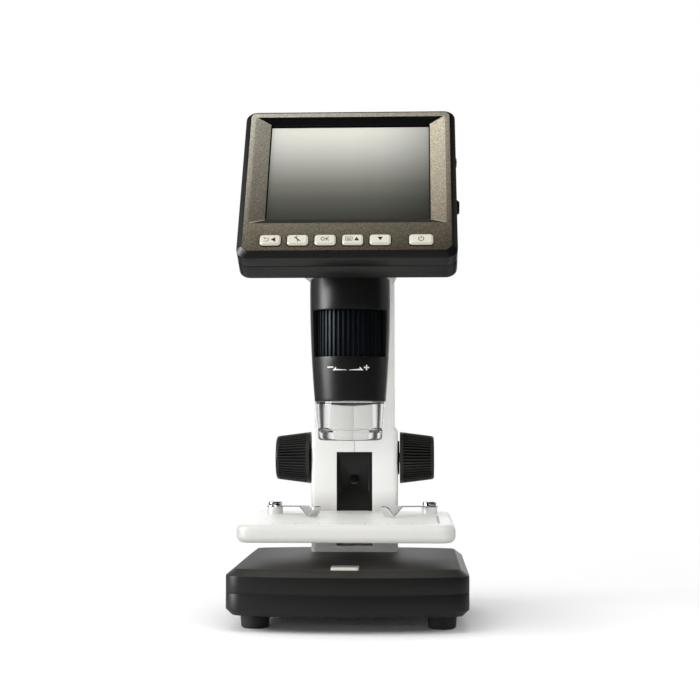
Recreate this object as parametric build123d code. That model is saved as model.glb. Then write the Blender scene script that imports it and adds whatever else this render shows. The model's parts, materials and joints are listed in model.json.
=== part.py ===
from build123d import *
import math
import os

# An LCD digital microscope: a weighted base, a two-shell column with a rack-driven stage,
# a lens tube with a focus ring, and a tilted display head.
# Millimetres. While the parts are made, the optical axis is X=0, Y=0, the floor is Z=0, +X is
# the object's right seen from the front, and +Y is its back. On export every part is shifted
# along Y, so that the origin is the bottom centre of the whole object's box.

# --- Base ---
BASE_WIDTH = 107.2
BASE_END_FRONT_Y = -38.3
BASE_END_BACK_Y = 73.4
BASE_BULGE = 6.6
BASE_CORNER_RADIUS = 9.0
BASE_WALL = 2.2
BASE_ROOF = 2.6
BASE_BOTTOM_Z = 7.2
BASE_PARTING_Z = 16.9
BASE_TOP_Z = 27.4
BASE_CHAMFER_RUN = 3.8
BASE_CHAMFER_DROP = 2.8
BASE_UNDER_CHAMFER = 2.7
PARTING_GROOVE = 0.35
FOOT_INSET = 11.8
FOOT_FRONT_Y = -20.0
FOOT_BACK_Y = 54.0
FOOT_TOP_RADIUS = 6.8
FOOT_BOTTOM_RADIUS = 6.1
FOOT_RIM_CHAMFER = 0.6
FOOT_PEG_RADIUS = 2.5
BASE_SCREW_INSET = 9.6
BASE_SCREW_FRONT_Y = -4.0
BASE_SCREW_BACK_Y = 38.0
BALLAST_THICKNESS = 4.0
BALLAST_MARGIN = 8.0
COLUMN_PEG_X = 15.5
COLUMN_PEG_RADIUS = 2.0

# --- Capture button on the base ---
CAPTURE_X = -0.9
CAPTURE_Y = -34.6
CAPTURE_WIDTH = 12.2
CAPTURE_DEPTH = 10.0
CAPTURE_RISE = 1.2
CAPTURE_BEVEL = 0.35
CAPTURE_TRAVEL = 0.8
CAPTURE_RADIUS = 1.2
CAPTURE_FLANGE_LAP = 1.3
CAPTURE_FLANGE_THICKNESS = 1.2
CAPTURE_BOARD_DROP = 4.4
CAPTURE_BOARD_MARGIN = 1.0
CAPTURE_POST_GAP = 4.0
CAPTURE_POST_RADIUS = 2.0
CAPTURE_STEM_RADIUS = 1.6
SWITCH_HEIGHT = 0.8
SWITCH_HALF = 3.0

# --- Column ---
COLUMN_FRONT_Y = 48.0
COLUMN_BACK_Y = 74.0
COLUMN_LOWER_HALF = 21.4
COLUMN_UPPER_HALF = 19.9
COLUMN_SETBACK = 0.8
COLUMN_WALL = 2.0
COLUMN_EDGE_RADIUS = 2.4
COLUMN_FLOOR = 2.9
SHOULDER_Z = 87.2
SHOULDER_RISE = 2.0
SEAM_GAP = 0.2
SLOT_HALF = 8.85
SLOT_BOTTOM_Z = BASE_TOP_Z + 2.9
SLOT_TOP_Z = 76.7
ARM_UNDER_Z = 159.0
ARM_HALF = 21.75
ARM_THROAT_RADIUS = 18.0
ARM_TOP_RUN = 44.0
NECK_TOP_Y = 50.0
NECK_TOP_Z = 184.0
NECK_BACK_Z = 152.0
COLUMN_SCREW_PLACES = [(67.0, 46.0), (67.0, 104.0), (67.0, 140.0), (38.0, 172.0)]
COLUMN_POST_X = 15.0
COLUMN_POST_INSET = 6.6
COLUMN_POST_HEIGHT = 11.0
BOSS_RADIUS = 3.4

# --- Rods, carriage and rack ---
ROD_X = 11.0
ROD_Y = 54.2
ROD_RADIUS = 2.0
ROD_TOP_Z = 116.0
ROD_FOOT = 1.2
ROD_LEDGE = 3.0
ROD_LEDGE_INNER_X = 6.5
RUNNING_CLEARANCE = 0.05
BODY_GAP = 0.3
CARRIAGE_HALF = 14.4
CARRIAGE_BELOW_STAGE = 9.0
CARRIAGE_HEIGHT = 48.0
CARRIAGE_PLATE = 1.3
SLEEVE_INNER = 3.0
SLEEVE_WALL = 0.8
BEARING_LAND = 10.0
PANEL_HALF = 7.1
PANEL_LOW = 18.0
PANEL_HIGH = 34.0
PANEL_DEPTH = 0.5
CARRIAGE_SCREW_HEIGHT = 24.0
CARRIAGE_SCREW_RADIUS = 2.4
CARRIAGE_SHANK_RADIUS = 1.2
GEAR_MODULE = 0.8
PINION_TEETH = 14
PINION_HALF_WIDTH = 4.0
PRESSURE_ANGLE = 20.0
BACKLASH = 0.12
RACK_HALF_WIDTH = 3.5
RACK_ADDENDUM = 0.6
RACK_END = 5.0
GEAR_HUB = 3.0
SHAFT_Y = 61.0
SHAFT_Z = 73.6
SHAFT_RADIUS = 2.5
STAGE_DROP = 8.0
STAGE_RISE = 24.0

# --- Knobs and bushes ---
KNOB_INNER_X = 22.5
KNOB_OUTER_X = 39.6
KNOB_BIG_RADIUS = 12.95
KNOB_SMALL_RADIUS = 10.75
KNOB_RIM = 1.8
KNOB_RIBS = 50
KNOB_RIB_DEPTH = 0.45
KNOB_END_ROUND = 1.2
KNOB_BORE_DEPTH = 13.5
BUSH_FLANGE_RADIUS = 8.4
BUSH_FLANGE = 0.8
BUSH_RADIUS = 5.0
BUSH_INSIDE = 2.0

# --- Stage ---
STAGE_WIDTH = 94.3
STAGE_FRONT_Y = -52.0
STAGE_BACK_Y = 44.5
STAGE_TOP_Z = 48.0
STAGE_THICKNESS = 8.0
STAGE_EDGE_ROUND = 2.8
STAGE_CORNER_RADIUS = 7.0
BRACKET_HALF = 15.0
BRACKET_FRONT_Y = 8.0
BRACKET_THICKNESS = 3.0
BRACKET_NECK_HALF = 7.1
BRACKET_NECK_DROP = 0.5
BRACKET_NECK_DEPTH = 8.7
STAGE_SCREW_X = 10.0
STAGE_SCREW_YS = [14.0, 34.0]
STAGE_SCREW_BITE = 5.0

# --- Stage clips ---
CLIP_X = 36.8
CLIP_Y = 22.0
CLIP_BOSS_RADIUS = 3.65
CLIP_BOSS_HEIGHT = 3.2
LEFT_CLIP_ANGLE = 56.0
RIGHT_CLIP_ANGLE = 58.5
CLIP_WIDTH = 4.9
CLIP_THICKNESS = 0.5
CLIP_EYE_RADIUS = 3.9
CLIP_SCREW_RADIUS = 1.5
CLIP_BORE_CLEARANCE = 0.08
CLIP_HEAD_RADIUS = 3.2
CLIP_HEAD_HEIGHT = 1.8
CLIP_HEAD_ROUND = 0.6
CLIP_DRIVER_WIDTH = 0.8
CLIP_DRIVER_LENGTH = 4.4
CLIP_DRIVER_DEPTH = 0.8
CLIP_SCREW_FLOOR = 1.5
CLIP_REACH = 35.2
CLIP_BEND = 28.0
CLIP_RISE = 1.3
CLIP_TAB_REACH = 40.4
CLIP_TAB_RISE = 4.8
CLIP_BEND_RADIUS = 0.8
CLIP_END_RADIUS = 2.1
CLIP_GAP = 0.1

# --- Tube ---
TUBE_BOTTOM_Z = 101.2
TUBE_TOP_Z = ARM_UNDER_Z - 1.4
TUBE_MIDDLE_Z = 122.0
TUBE_BOTTOM_RADIUS = 16.5
TUBE_MIDDLE_RADIUS = 17.93
TUBE_TOP_RADIUS = 18.7
TUBE_NECK_RADIUS = 17.4
TUBE_FLANGE_RADIUS = 19.2
TUBE_FLANGE = 1.6
WINDOW_LOW_Z = 121.5
WINDOW_HIGH_Z = 143.0
WINDOW_ANGLE = 66.0
RING_RADIUS = 16.0
RING_BORE_RADIUS = 12.0
RING_RIBS = 44
RING_RIB_DEPTH = 0.8
RING_OVERLAP = 1.7
RETAINER_HEIGHT = 4.0
RETAINER_BORE_RADIUS = 9.0
LOWER_BORE_RADIUS = 13.5
LED_RECESS_RADIUS = 14.6
LED_RECESS_DEPTH = 5.0
LED_BOARD_THICKNESS = 1.2
LED_COUNT = 8
LED_CIRCLE_RADIUS = 10.8
LED_RADIUS = 1.4
LED_HEIGHT = 1.1
BARREL_GAP = 4.6
BARREL_LENGTH = 30.5
BARREL_BORE_RADIUS = 7.0
BARREL_KEY_HALF = 1.0
BARREL_KEY_REACH = 2.6
BARREL_SLOT_OVERRUN = 3.9
LENS_THICKNESS = 3.0
LENS_LIP = 1.5
LENS_SEAT = 1.2
SENSOR_BOARD_RADIUS = 13.0
SENSOR_BOARD_THICKNESS = 1.2
SENSOR_WIDTH = 7.0
SENSOR_DEPTH = 6.0
SENSOR_THICKNESS = 1.0

# --- Clear cap ---
CAP_HEIGHT = 18.0
CAP_RING_HEIGHT = 4.8
CAP_TOP_RADIUS = 16.2
CAP_BOTTOM_RADIUS = 14.65
CAP_WALL = 2.4
CAP_RING_BORE_RADIUS = 11.0
CAP_SPIGOT_HEIGHT = 2.0
CAP_SPIGOT_RADIUS = 14.5
CAP_SPIGOT_BORE_RADIUS = 12.9
CAP_CORNER_ROUND = 1.6

# --- Display head, in its own frame: u to the right, v up the face, w out of the face ---
HEAD_FOOT_Y = -40.0
HEAD_FOOT_Z = 166.8
HEAD_TILT = 30.5
FACE_WIDTH = 93.3
FACE_HEIGHT = 81.3
HEAD_CHAMFER = 2.3
HEAD_BACK_CHAMFER = 2.0
HEAD_THICKNESS = 19.0
HEAD_PARTING_W = -8.5
HEAD_WALL = 2.0
HEAD_CORNER_RADIUS = 5.2
FACE_CLIP = 2.6
BEZEL_MARGIN = 0.4
BEZEL_DEPTH = 4.0
BEZEL_SKIN = 1.6
BEZEL_FIT = 0.1
BEZEL_SHELF_LOW = 1.2
BEZEL_SHELF_GAP = 2.0
LCD_WIDTH = 74.4
LCD_HEIGHT = 56.5
LCD_CENTRE_V = 47.65
SLOPE_SIDE = 7.0
SLOPE_TOP = 2.6
SLOPE_BOTTOM = 3.9
SLOPE_DEPTH = 2.6
LCD_GLASS_THICKNESS = 1.6
LCD_LAP = 2.5
LCD_FRAME_THICKNESS = 2.6
KEY_V = 5.6
KEY_WIDTH = 9.3
KEY_HEIGHT = 5.7
KEY_RADIUS = 1.5
KEY_GAP = 0.4
KEY_RISE = 1.3
KEY_BEVEL = 0.8
KEY_FLANGE = 0.8
KEY_TRAVEL = 0.7
FIRST_KEY_U = -33.8
KEY_PITCH = 12.15
POWER_KEY_U = 32.8
POWER_KEY_WIDTH = 10.6
KEY_NAMES = ["back_key", "menu_key", "ok_key", "mode_key", "down_key", "power_key"]
BOARD_THICKNESS = 1.0
DIMMER_V = 58.5
DIMMER_W = -10.3
DIMMER_RADIUS = 8.0
DIMMER_PROUD = 0.7
DIMMER_WIDTH = 2.6
DIMMER_RIBS = 40
DIMMER_RIB_DEPTH = 0.35
DIMMER_AXLE_RADIUS = 1.5
DIMMER_AXLE_FOOT = 1.5
SIDE_BUTTON_V = 33.8
SIDE_BUTTON_W = -12.5
SIDE_BUTTON_RADIUS = 3.4
SIDE_BUTTON_TIP_RADIUS = 2.7
SIDE_BUTTON_PROUD = 1.45
SIDE_BUTTON_COLLAR = 0.4
SIDE_BUTTON_INSIDE = 2.2
SIDE_BUTTON_TRAVEL = 0.8
HEAD_BOSS_SINK = 0.6
MOUNT_SCREW_U = 8.0
MOUNT_SCREW_VS = [13.0, 38.0]
MOUNT_SCREW_BITE = 5.0
MOUNT_POST_HEIGHT = 6.4
KEY_BOARD_MARGIN = 4.0
KEY_STEM = 0.5
KEY_STEM_RADIUS = 1.2
KEY_FLANGE_LAP = 0.8
KEY_SWITCH_HALF = 2.2
KEY_SWITCH_HEIGHT = 0.7
MAIN_BOARD_WIDTH = 66.0
MAIN_BOARD_HEIGHT = 60.0
MAIN_BOARD_U = -4.0
MAIN_BOARD_TOP_GAP = 6.9
MAIN_BOARD_THICKNESS = 1.6
MAIN_BOARD_GAP = 1.2
CHIP_SIZE = 14.0
CHIP_HEIGHT = 1.4
CHIP_U = -3.0
CHIP_V = 57.0
PLUG_WIDTH = 10.0
PLUG_DEPTH = 8.0
PLUG_HEIGHT = 1.2
PLUG_U = -19.0
PLUG_V = 24.0
BOARD_POSTS = [(-32.0, 20.0), (25.0, 20.0), (-32.0, 70.0), (25.0, 50.0)]
BOARD_POST_RADIUS = 2.6
CELL_WIDTH = 52.0
CELL_HEIGHT = 20.0
CELL_THICKNESS = 4.0
CELL_TOP_GAP = 3.9
PORTS = [(30.0, 8.0, 3.0), (46.0, 12.5, 2.0)]
PORT_W = -12.5
PORT_BOARD_GAP = 1.0
PORT_SOCKET_FLOOR = 3.0
PORT_LONG_WALL = 1.0
PORT_SHORT_WALL = 0.6
SIDE_SWITCH_DEPTH = 1.4
SIDE_SWITCH_HALF = 2.5
SIDE_SWITCH_LOW = 3.4
SIDE_SWITCH_HIGH = 1.0
SCREW_RADIUS = 1.5
SCREW_HEAD_RADIUS = 2.8
SCREW_HEAD_HEIGHT = 1.8
SCREW_SINK = 3.0
DRIVER_RADIUS = 1.25
DRIVER_DEPTH = 1.0
CABLE_HOLE_V = 26.0
CABLE_HOLE_RADIUS = 5.0

CENTRED = (Align.CENTER, Align.CENTER, Align.MIN)
STAGE_BOTTOM_Z = STAGE_TOP_Z - STAGE_THICKNESS
FOOT_X = BASE_WIDTH / 2 - FOOT_INSET
BASE_SCREW_X = BASE_WIDTH / 2 - BASE_SCREW_INSET
PORT_INNER_U = MAIN_BOARD_U - MAIN_BOARD_WIDTH / 2 - PORT_BOARD_GAP
CARRIAGE_BOTTOM_Z = STAGE_TOP_Z - CARRIAGE_BELOW_STAGE
CARRIAGE_TOP_Z = CARRIAGE_BOTTOM_Z + CARRIAGE_HEIGHT
CARRIAGE_SCREW_Z = CARRIAGE_BOTTOM_Z + CARRIAGE_SCREW_HEIGHT
LED_RECESS_TOP_Z = TUBE_BOTTOM_Z + LED_RECESS_DEPTH
BARREL_BOTTOM_Z = LED_RECESS_TOP_Z + BARREL_GAP
BARREL_TOP_Z = BARREL_BOTTOM_Z + BARREL_LENGTH
CAP_BOTTOM_Z = TUBE_BOTTOM_Z - CAP_HEIGHT
CAP_RING_TOP_Z = CAP_BOTTOM_Z + CAP_RING_HEIGHT
PINION_RADIUS = GEAR_MODULE * PINION_TEETH / 2
RACK_PITCH_Y = SHAFT_Y - PINION_RADIUS
GEAR_DEDENDUM = 1.25 * GEAR_MODULE
FACE_CENTRE_V = FACE_HEIGHT / 2
HEAD_OUTER_WIDTH = FACE_WIDTH + 2 * HEAD_CHAMFER
HEAD_OUTER_HEIGHT = FACE_HEIGHT + 2 * HEAD_CHAMFER
HEAD_BOSS_INSET = HEAD_WALL + BOSS_RADIUS - HEAD_BOSS_SINK
HEAD_SCREW_U = HEAD_OUTER_WIDTH / 2 - HEAD_BOSS_INSET
HEAD_SCREW_VS = [HEAD_BOSS_INSET - HEAD_CHAMFER, FACE_HEIGHT + HEAD_CHAMFER - HEAD_BOSS_INSET]
CARRIAGE_FRONT_Y = COLUMN_FRONT_Y + COLUMN_SETBACK + COLUMN_WALL + 0.5
SIN_TILT = math.sin(math.radians(HEAD_TILT))
COS_TILT = math.cos(math.radians(HEAD_TILT))
HEAD = Plane(origin=(0, HEAD_FOOT_Y, HEAD_FOOT_Z), x_dir=(1, 0, 0), z_dir=(0, -COS_TILT, SIN_TILT))

PARTS = {}


# --- Small helpers ---
def block(x0, x1, y0, y1, z0, z1):
    """A box from its limits."""
    return Pos((x0 + x1) / 2, (y0 + y1) / 2, z0) * Box(x1 - x0, y1 - y0, z1 - z0, align=CENTRED)


def disc(radius, z0, z1, x=0, y=0):
    """An upright cylinder."""
    return Pos(x, y, z0) * Cylinder(radius, z1 - z0, align=CENTRED)


def cross_disc(radius, x0, x1, y, z):
    """A cylinder along X."""
    return Pos(x0, y, z) * Rot(0, 90, 0) * Cylinder(radius, x1 - x0, align=CENTRED)


def slab(width, depth, radius, z0, z1, x=0, y=0):
    """An upright slab with rounded vertical edges."""
    return Pos(x, y, z0) * extrude(RectangleRounded(width, depth, radius), z1 - z0)


def funnel(low, high, z0, z1, x=0, y=0):
    """A ruled slab between two rounded rectangles, each (width, depth, radius)."""
    return loft([Pos(x, y, z0) * RectangleRounded(*low), Pos(x, y, z1) * RectangleRounded(*high)],
                ruled=True)


def upright_screw(x, y, head_z, tip_z, head_radius=SCREW_HEAD_RADIUS, radius=SCREW_RADIUS):
    """A vertical screw whose head's outer face is at head_z and whose shank ends at tip_z."""
    way = 1 if tip_z > head_z else -1
    head_inner = head_z + way * SCREW_HEAD_HEIGHT
    head = disc(head_radius, min(head_z, head_inner), max(head_z, head_inner), x, y)
    socket_z = head_z + way * DRIVER_DEPTH
    head -= disc(DRIVER_RADIUS, min(head_z, socket_z), max(head_z, socket_z), x, y)
    return head + disc(radius, min(head_inner, tip_z), max(head_inner, tip_z), x, y)


# --- Base ---
def base_outline(inset, z):
    """The base's plan at one height, drawn in by inset: convex front and back, round corners."""
    half = BASE_WIDTH / 2 - inset
    front = BASE_END_FRONT_Y + inset
    back = BASE_END_BACK_Y - inset
    corners = [(-half, front), (half, front), (half, back), (-half, back)]
    edges = [
        ThreePointArc(corners[0], (0, front - BASE_BULGE), corners[1]),
        Line(corners[1], corners[2]),
        ThreePointArc(corners[2], (0, back + BASE_BULGE), corners[3]),
        Line(corners[3], corners[0]),
    ]
    face = make_face(edges)
    return Pos(0, 0, z) * fillet(face.vertices(), max(BASE_CORNER_RADIUS - inset, 1.5))


def make_base():
    shoulder = BASE_TOP_Z - BASE_CHAMFER_DROP
    ceiling = BASE_TOP_Z - BASE_ROOF
    step = shoulder - 1.0
    upper = extrude(base_outline(0, BASE_PARTING_Z), shoulder - BASE_PARTING_Z)
    upper += loft([base_outline(0, shoulder), base_outline(BASE_CHAMFER_RUN, BASE_TOP_Z)], ruled=True)
    upper -= extrude(base_outline(BASE_WALL, BASE_PARTING_Z), step - BASE_PARTING_Z)
    upper -= extrude(base_outline(BASE_WALL + BASE_CHAMFER_RUN, step), ceiling - step)
    groove = extrude(base_outline(0, BASE_PARTING_Z), PARTING_GROOVE)
    groove -= extrude(base_outline(PARTING_GROOVE, BASE_PARTING_Z), PARTING_GROOVE)
    upper -= groove

    belly = BASE_BOTTOM_Z + BASE_UNDER_CHAMFER
    floor = BASE_BOTTOM_Z + BASE_WALL
    lower = loft([base_outline(BASE_UNDER_CHAMFER, BASE_BOTTOM_Z), base_outline(0, belly)], ruled=True)
    lower += extrude(base_outline(0, belly), BASE_PARTING_Z - belly)
    lower -= extrude(base_outline(BASE_WALL + BASE_UNDER_CHAMFER, floor), BASE_PARTING_Z - floor)

    ballast = extrude(base_outline(BASE_WALL + BASE_UNDER_CHAMFER + BALLAST_MARGIN, floor), BALLAST_THICKNESS)
    screws = []
    for x in (-BASE_SCREW_X, BASE_SCREW_X):
        for y in (BASE_SCREW_FRONT_Y, BASE_SCREW_BACK_Y):
            lower += disc(BOSS_RADIUS, floor, BASE_PARTING_Z, x, y)
            upper += disc(BOSS_RADIUS, BASE_PARTING_Z, ceiling, x, y)
            ballast -= disc(BOSS_RADIUS + BODY_GAP, floor, BASE_PARTING_Z, x, y)
            lower -= disc(SCREW_HEAD_RADIUS + BODY_GAP, BASE_BOTTOM_Z, BASE_BOTTOM_Z + SCREW_SINK, x, y)
            lower -= disc(SCREW_RADIUS, BASE_BOTTOM_Z, BASE_PARTING_Z, x, y)
            upper -= disc(SCREW_RADIUS, BASE_PARTING_Z, ceiling - 1.0, x, y)
            head_z = BASE_BOTTOM_Z + SCREW_SINK - SCREW_HEAD_HEIGHT
            screws.append(upright_screw(x, y, head_z, ceiling - 2.0))

    feet = []
    for x in (-FOOT_X, FOOT_X):
        for y in (FOOT_FRONT_Y, FOOT_BACK_Y):
            foot = Pos(x, y, 0) * Cone(FOOT_BOTTOM_RADIUS, FOOT_TOP_RADIUS, BASE_BOTTOM_Z, align=CENTRED)
            rim = foot.edges().group_by(Axis.Z)[0]
            foot = chamfer(rim, FOOT_RIM_CHAMFER)
            peg_top = BASE_BOTTOM_Z + BASE_WALL
            feet.append(foot + disc(FOOT_PEG_RADIUS, BASE_BOTTOM_Z, peg_top, x, y))
            lower -= disc(FOOT_PEG_RADIUS, BASE_BOTTOM_Z, peg_top, x, y)

    half_w = CAPTURE_WIDTH / 2 + BODY_GAP
    half_d = CAPTURE_DEPTH / 2 + BODY_GAP
    upper -= slab(2 * half_w, 2 * half_d, CAPTURE_RADIUS + BODY_GAP, step - 1, BASE_TOP_Z + 1,
                  CAPTURE_X, CAPTURE_Y)
    post_x = half_w + CAPTURE_POST_GAP
    board_top = ceiling - CAPTURE_BOARD_DROP
    for side in (-1, 1):
        upper += disc(CAPTURE_POST_RADIUS, board_top, ceiling, CAPTURE_X + side * post_x, CAPTURE_Y)
    for x, y in column_post_places():
        upper -= disc(SCREW_RADIUS, ceiling, BASE_TOP_Z, x, y)
    for side in (-1, 1):
        upper -= disc(COLUMN_PEG_RADIUS, ceiling, BASE_TOP_Z, side * COLUMN_PEG_X, COLUMN_FRONT_Y + 5.0)

    board = slab(2 * (post_x + CAPTURE_POST_RADIUS), CAPTURE_DEPTH + 2 * CAPTURE_BOARD_MARGIN,
                 CAPTURE_BOARD_MARGIN, board_top - BOARD_THICKNESS, board_top, CAPTURE_X, CAPTURE_Y)
    board += block(CAPTURE_X - SWITCH_HALF, CAPTURE_X + SWITCH_HALF, CAPTURE_Y - SWITCH_HALF,
                   CAPTURE_Y + SWITCH_HALF, board_top, board_top + SWITCH_HEIGHT)
    flange_top = ceiling - BODY_GAP
    button = slab(CAPTURE_WIDTH, CAPTURE_DEPTH, CAPTURE_RADIUS, flange_top, BASE_TOP_Z + CAPTURE_RISE,
                  CAPTURE_X, CAPTURE_Y)
    button = chamfer(button.edges().group_by(Axis.Z)[-1], CAPTURE_BEVEL)
    button += slab(CAPTURE_WIDTH + 2 * CAPTURE_FLANGE_LAP, CAPTURE_DEPTH - 2 * CAPTURE_FLANGE_LAP, 0.5,
                   flange_top - CAPTURE_FLANGE_THICKNESS, flange_top, CAPTURE_X, CAPTURE_Y)
    stem_low = board_top + SWITCH_HEIGHT + BODY_GAP + CAPTURE_TRAVEL
    button += disc(CAPTURE_STEM_RADIUS, stem_low, flange_top, CAPTURE_X, CAPTURE_Y)

    PARTS["base_upper_shell"] = upper
    PARTS["base_lower_shell"] = lower
    PARTS["ballast_plate"] = ballast
    PARTS["base_screws"] = screws
    PARTS["rubber_feet"] = feet
    PARTS["capture_board"] = board
    PARTS["capture_button"] = button


# --- Column ---
def column_post_places():
    """Where screws come up through the base's roof into the column."""
    y = COLUMN_BACK_Y - COLUMN_POST_INSET
    return [(-COLUMN_POST_X, y), (COLUMN_POST_X, y)]


def back_plane_point(run, inset=0.0):
    """A (y, z) point on the head's rear face, run up from its foot, inset into the arm."""
    y = HEAD_FOOT_Y + (HEAD_THICKNESS + inset) * COS_TILT + run * SIN_TILT
    z = HEAD_FOOT_Z - (HEAD_THICKNESS + inset) * SIN_TILT + run * COS_TILT
    return (y, z)


def side_profile():
    """The column and neck seen from the side, in the YZ plane."""
    upper_front = COLUMN_FRONT_Y + COLUMN_SETBACK
    low_z = SHOULDER_Z + SHOULDER_RISE
    throat_y = upper_front - ARM_THROAT_RADIUS
    throat_z = ARM_UNDER_Z - ARM_THROAT_RADIUS
    mid = math.sqrt(0.5) * ARM_THROAT_RADIUS
    run_at_floor = (ARM_UNDER_Z - back_plane_point(0)[1]) / COS_TILT
    nose = back_plane_point(run_at_floor)
    brow = back_plane_point(ARM_TOP_RUN)
    edges = [
        Line((COLUMN_BACK_Y, NECK_BACK_Z), (COLUMN_BACK_Y, low_z)),
        Line((COLUMN_BACK_Y, low_z), (upper_front, low_z)),
        Line((upper_front, low_z), (upper_front, throat_z)),
        ThreePointArc((upper_front, throat_z), (throat_y + mid, throat_z + mid), (throat_y, ARM_UNDER_Z)),
        Line((throat_y, ARM_UNDER_Z), nose),
        Line(nose, brow),
        ThreePointArc(brow, (NECK_TOP_Y, NECK_TOP_Z), (COLUMN_BACK_Y, NECK_BACK_Z)),
    ]
    return make_face(edges)


def plan_profile(inset):
    """The neck seen from above: a round nose about the tube, tapering to the column."""
    nose = ARM_HALF - inset
    waist = COLUMN_UPPER_HALF - inset
    waist_y = COLUMN_FRONT_Y + COLUMN_SETBACK - ARM_THROAT_RADIUS
    back = COLUMN_BACK_Y - inset
    tail = make_face(Polyline((-nose, 0), (-waist, waist_y), (-waist, back), (waist, back),
                              (waist, waist_y), (nose, 0), close=True))
    tail = fillet(tail.vertices().group_by(Axis.Y)[-1], max(COLUMN_EDGE_RADIUS - inset, 0.3))
    return Circle(nose) + tail


def column_solid(inset):
    """The column's outer form, or with inset its hollow."""
    lower_low = BASE_TOP_Z + (COLUMN_FLOOR if inset else 0.0)
    radius = max(COLUMN_EDGE_RADIUS - inset, 0.3)
    lower_front = COLUMN_FRONT_Y + inset
    upper_front = COLUMN_FRONT_Y + COLUMN_SETBACK + inset
    back = COLUMN_BACK_Y - inset
    low = (2 * (COLUMN_LOWER_HALF - inset), back - lower_front, radius)
    high = (2 * (COLUMN_UPPER_HALF - inset), back - upper_front, radius)
    low_y = (back + lower_front) / 2
    high_y = (back + upper_front) / 2
    shoulder_low = SHOULDER_Z - inset
    shoulder_high = SHOULDER_Z + SHOULDER_RISE - inset
    solid = slab(*low, lower_low, shoulder_low, 0, low_y)
    solid += loft([Pos(0, low_y, shoulder_low) * RectangleRounded(*low),
                   Pos(0, high_y, shoulder_high) * RectangleRounded(*high)], ruled=True)
    throat_z = ARM_UNDER_Z - ARM_THROAT_RADIUS
    solid += slab(*high, shoulder_high, throat_z, 0, high_y)
    side = side_profile()
    if inset:
        side = offset(side, -inset, kind=Kind.INTERSECTION)
    neck = extrude(Plane.YZ * side, ARM_HALF + 5, both=True)
    neck &= Pos(0, 0, SHOULDER_Z) * extrude(plan_profile(inset), 160)
    neck &= block(-60, 60, -60, 100, SHOULDER_Z + SHOULDER_RISE + inset, 260)
    return solid + neck


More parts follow.
